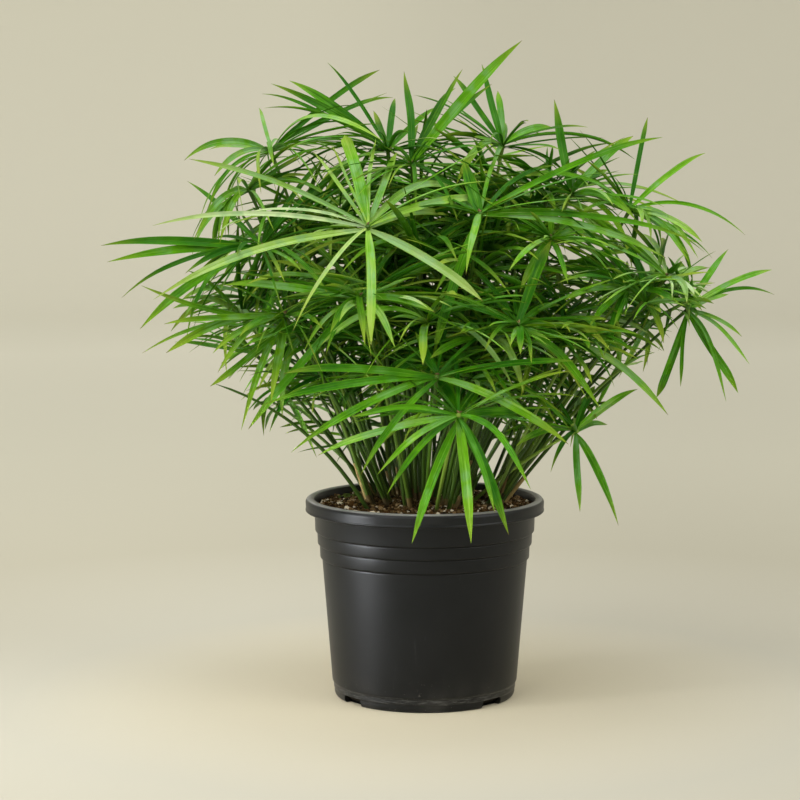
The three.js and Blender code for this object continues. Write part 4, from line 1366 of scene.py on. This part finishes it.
def build_granules(stems):
    """Loose bark and grit on the soil: small broken lumps, each a little different."""
    random = np.random.default_rng(LUMP_SEED)
    verts, faces = icosahedron()
    count = len(verts)
    shape = Shape()
    feet = np.array([stem["line"][1][:2] for stem in stems])
    placed = 0
    while placed < GRANULES:
        radius = (SOIL_RADIUS - LUMP_EDGE) * math.sqrt(random.uniform())
        angle = random.uniform(0, 2 * math.pi)
        x, y = radius * math.cos(angle), radius * math.sin(angle)
        if (np.hypot(feet[:, 0] - x, feet[:, 1] - y) < LUMP_STEM_GAP).any():
            continue
        placed += 1
        size = np.array([1.0, random.uniform(*LUMP_WIDTH), random.uniform(*LUMP_HEIGHT)])
        size = np.clip(size * random.gamma(*LUMP_SIZE), *LUMP_LIMITS)
        lump = verts * (1 + random.normal(0, LUMP_ROUGHNESS, (count, 1))) * size
        spin = random.uniform(0, 2 * math.pi)
        tip = random.normal(0, LUMP_LEAN)
        turn = np.array([[math.cos(spin), -math.sin(spin), 0],
                         [math.sin(spin), math.cos(spin), 0], [0, 0, 1]])
        lean = np.array([[1, 0, 0], [0, math.cos(tip), -math.sin(tip)],
                         [0, math.sin(tip), math.cos(tip)]])
        lump = lump @ (turn @ lean).T
        centre = np.array([x, y, soil_height(x, y) + random.uniform(*LUMP_RISE)])
        distance = math.hypot(x - MOSS_MIDDLE[0], y - MOSS_MIDDLE[1])
        moss = MOSS_COVER if distance < MOSS_RADIUS * random.uniform(*MOSS_EDGE) else 0
        shade = lump_shade(random)
        tint = flat_tint(count, shade, random.uniform(), random.uniform(), moss)
        shape.add(lump + centre, [faces], np.zeros((count, 2)), tint)
    return shape.build("soil_granules", [BARK], LUMP_SHARP)


# How pale and how yellow each front stem's blades are, from 0 to 1
FRONT_TONES = [
    (0.90, 0.16), (0.72, 0.05), (0.44, 0.00), (0.46, 0.02), (0.44, 0.06), (0.36, 0.04), (0.50, 0.06),
    (0.46, 0.03), (0.50, 0.12), (0.58, 0.03), (0.52, 0.06), (0.48, 0.06), (0.37, 0.04), (0.54, 0.06),
    (0.50, 0.06), (0.40, 0.38), (0.42, 0.03), (0.24, 0.04), (0.52, 0.12), (0.46, 0.20),
]
HIDDEN_TONE = (0.64, 0.05)
LOOK_SEED = 7
TONE_SPREAD = 0.08
YELLOW_SPREAD = 0.12

# Middle and spread of what each kind of blade adds to its stem's tone
BLADE_TONES = {"planned": (0, 0.14), "extra": (-0.05, 0.16), "sibling": (-0.12, 0.16)}

# Two blades of the foremost whorl, by half their width, and how they differ from the rest
STAR_BLADES = {6: {"taper": 0.93, "glow": -0.14}, 5.5: {"half": 4.3, "glow": 0.15}}


def tone_of(stem, random):
    pale, yellow = FRONT_TONES[stem["owner"] - 1] if stem["tips"] else HIDDEN_TONE
    return pale + random.normal(0, TONE_SPREAD), yellow + random.uniform(0, YELLOW_SPREAD)


def painted_shadow_of(blade):
    """Painted shade: blades deep in the canopy, and upright ones, are given a darker tone."""
    centre = (blade["root"] + blade["tip"]) / 2 - CANOPY_MIDDLE
    depth = max(0, 1 - np.linalg.norm(centre / CANOPY_RADII))
    rise = max(0, unit(blade["tip"] - blade["root"])[2])
    return DEEP_PAINTED_SHADE * depth + UPRIGHT_PAINTED_SHADE * rise


def build_leafy_stem(stem, random):
    shape = Shape()
    bright, yellow = tone_of(stem, random)

    def add_blades(blades, kind, plain=False):
        for blade in blades:
            tone = bright + random.normal(*BLADE_TONES[kind])
            # The tone loses the painted shade of deep and upright blades
            blade["shade"] = tone - painted_shadow_of(blade) + blade.get("glow", 0)
            add_blade(shape, blade, random, plain)

    for blade in stem["blades"] + stem["extra"]:
        blade["yellow"] = yellow
    if stem["owner"] == 1:
        for blade in stem["blades"]:
            blade.update(STAR_BLADES.get(blade["half"], {}))
    add_stem(shape, stem, random)
    add_blades(stem["blades"], "planned", plain=bool(stem["tips"]))
    add_blades(stem["extra"], "extra")
    add_flower_tuft(shape, stem, random)
    for sibling in stem["siblings"]:
        add_stem(shape, sibling, random)
        for blade in sibling["extra"]:
            blade["half"] *= SIBLING["narrow"]
        add_blades(sibling["extra"], "sibling")
    return shape.build(stem["name"] + "_fine", LEAFY_LOOKS)


def build_shoot(number, readings, random):
    points = shoot_points(readings, np.linspace(0, 1, SHOOT_RINGS))
    share = np.linspace(0, 1, SHOOT_RINGS - 1)
    radii = np.append(np.interp(share, SHOOT_STATIONS[:-1] + [1], SHOOT_RADII), SHOOT_TIP)
    shape = Shape()
    add_tube(shape, points, radii, STEM_SIDES, (*SHOOT_TONE, random.uniform(), 0), STEM_SLOT)
    return shape.build(f"young_shoot_{number}_fine", LEAFY_LOOKS)


def dress(piece, slot, *nodes):
    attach(piece, "root")
    if nodes:
        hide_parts(*nodes)


def build_plant():
    for number, readings in enumerate(SHOOTS, 1):
        points = shoot_points(readings, SHOOT_STATIONS)
        standing.keep(bar_segments(points, SHOOT_RADII), -number)
    stems = plan_stems()
    check_plan(stems)
    add_extra_blades(stems)
    add_siblings(stems)
    random = np.random.default_rng(LOOK_SEED)
    for stem in stems:
        dress(build_leafy_stem(stem, random), "foliage", stem["name"])
    for number, readings in enumerate(SHOOTS, 1):
        shoot = build_shoot(number, readings, random)
        dress(shoot, "foliage", f"young_shoot_{number}")
    return stems


# Stage, light and camera
STAGE_RINGS = (0.4, 2.0)
STAGE_FLAT = 5.2
STAGE_BEND = 1.8
STAGE_TOP = 3.4
STAGE_SIDES = 128
STAGE_BEND_RINGS = 24
CLIP_END = 50
WARM = (1.0, 0.985, 0.95)
PLANT_MIDDLE = (0, 0, 0.35)
LIGHTS = {
    "key": ((-1.35, -1.60, 2.50), PLANT_MIDDLE, (2.2, 2.2), 49, (1.0, 0.995, 0.98)),
    "fill": ((2.7, -1.5, 1.9), PLANT_MIDDLE, (2.2, 2.2), 43, WARM),
    "top": ((0.1, 0.1, 2.6), PLANT_MIDDLE, (1.5, 1.5), 21, WARM),
    "strip": ((-1.5, -0.62, 0.17), (0, 0, 0.11), (0.5, 0.3), 0.8, (1.0, 1.0, 1.0)),
}
STRIP_SPREAD = 24
ROOM_COLOUR = (1.0, 0.955, 0.86, 1)
ROOM_STRENGTH = 0.80


def build_stage():
    """A wide bowl of pale paper: a round floor that curves up into a wall on every side."""
    profile = [(radius, 0) for radius in (*STAGE_RINGS, STAGE_FLAT)]
    profile += [(STAGE_FLAT + STAGE_BEND * math.sin(a), STAGE_BEND - STAGE_BEND * math.cos(a))
                for a in np.linspace(0, math.pi / 2, STAGE_BEND_RINGS)[1:]]
    profile += [(STAGE_FLAT + STAGE_BEND, STAGE_TOP)]
    around = list(zip(*circle(STAGE_SIDES)))
    verts = [(r * x, r * y, z) for r, z in profile for x, y in around]
    index, quads = ring_faces(len(profile), STAGE_SIDES)
    faces = np.roll(quads[:, ::-1], 1, axis=1).tolist() + [index[0].tolist()]
    mesh = bpy.data.meshes.new("stage")
    mesh.from_pydata(verts, [], faces)
    mesh.polygons.foreach_set("use_smooth", [True] * len(faces))
    mesh.materials.append(STAGE_PAPER)
    put("stage", mesh)


def build_light():
    for name, (place, target, size, power, colour) in LIGHTS.items():
        light = bpy.data.lights.new(name, "AREA")
        light.shape = "RECTANGLE"
        light.size, light.size_y = size
        light.energy = power
        light.color = colour
        lamp = put(name, light)
        lamp.location = place
        lamp.rotation_euler = (Vector(target) - Vector(place)).to_track_quat("-Z", "Y").to_euler()
    bpy.data.lights["strip"].spread = math.radians(STRIP_SPREAD)
    world = bpy.data.worlds.new("room")
    world.use_nodes = True
    background = world.node_tree.nodes["Background"]
    background.inputs["Color"].default_value = ROOM_COLOUR
    background.inputs["Strength"].default_value = ROOM_STRENGTH
    bpy.context.scene.world = world


def build_camera():
    camera = bpy.data.cameras.new("camera")
    camera.sensor_width = SENSOR
    camera.lens = EYE_FOCAL / PICTURE_WIDTH * SENSOR
    camera.clip_end = CLIP_END
    eye = put("camera", camera)
    eye.location = EYE * MM
    eye.rotation_euler = (math.radians(90 - EYE_PITCH), 0, 0)
    bpy.context.scene.camera = eye
    bpy.context.scene.view_settings.view_transform = "Standard"


build_camera()
build_light()
build_stage()
stems = build_plant()
dress(build_pot(), "pot_plastic", "pot")
dress(build_soil(), "bark_soil", "soil")
dress(build_granules(stems), "bark_soil")
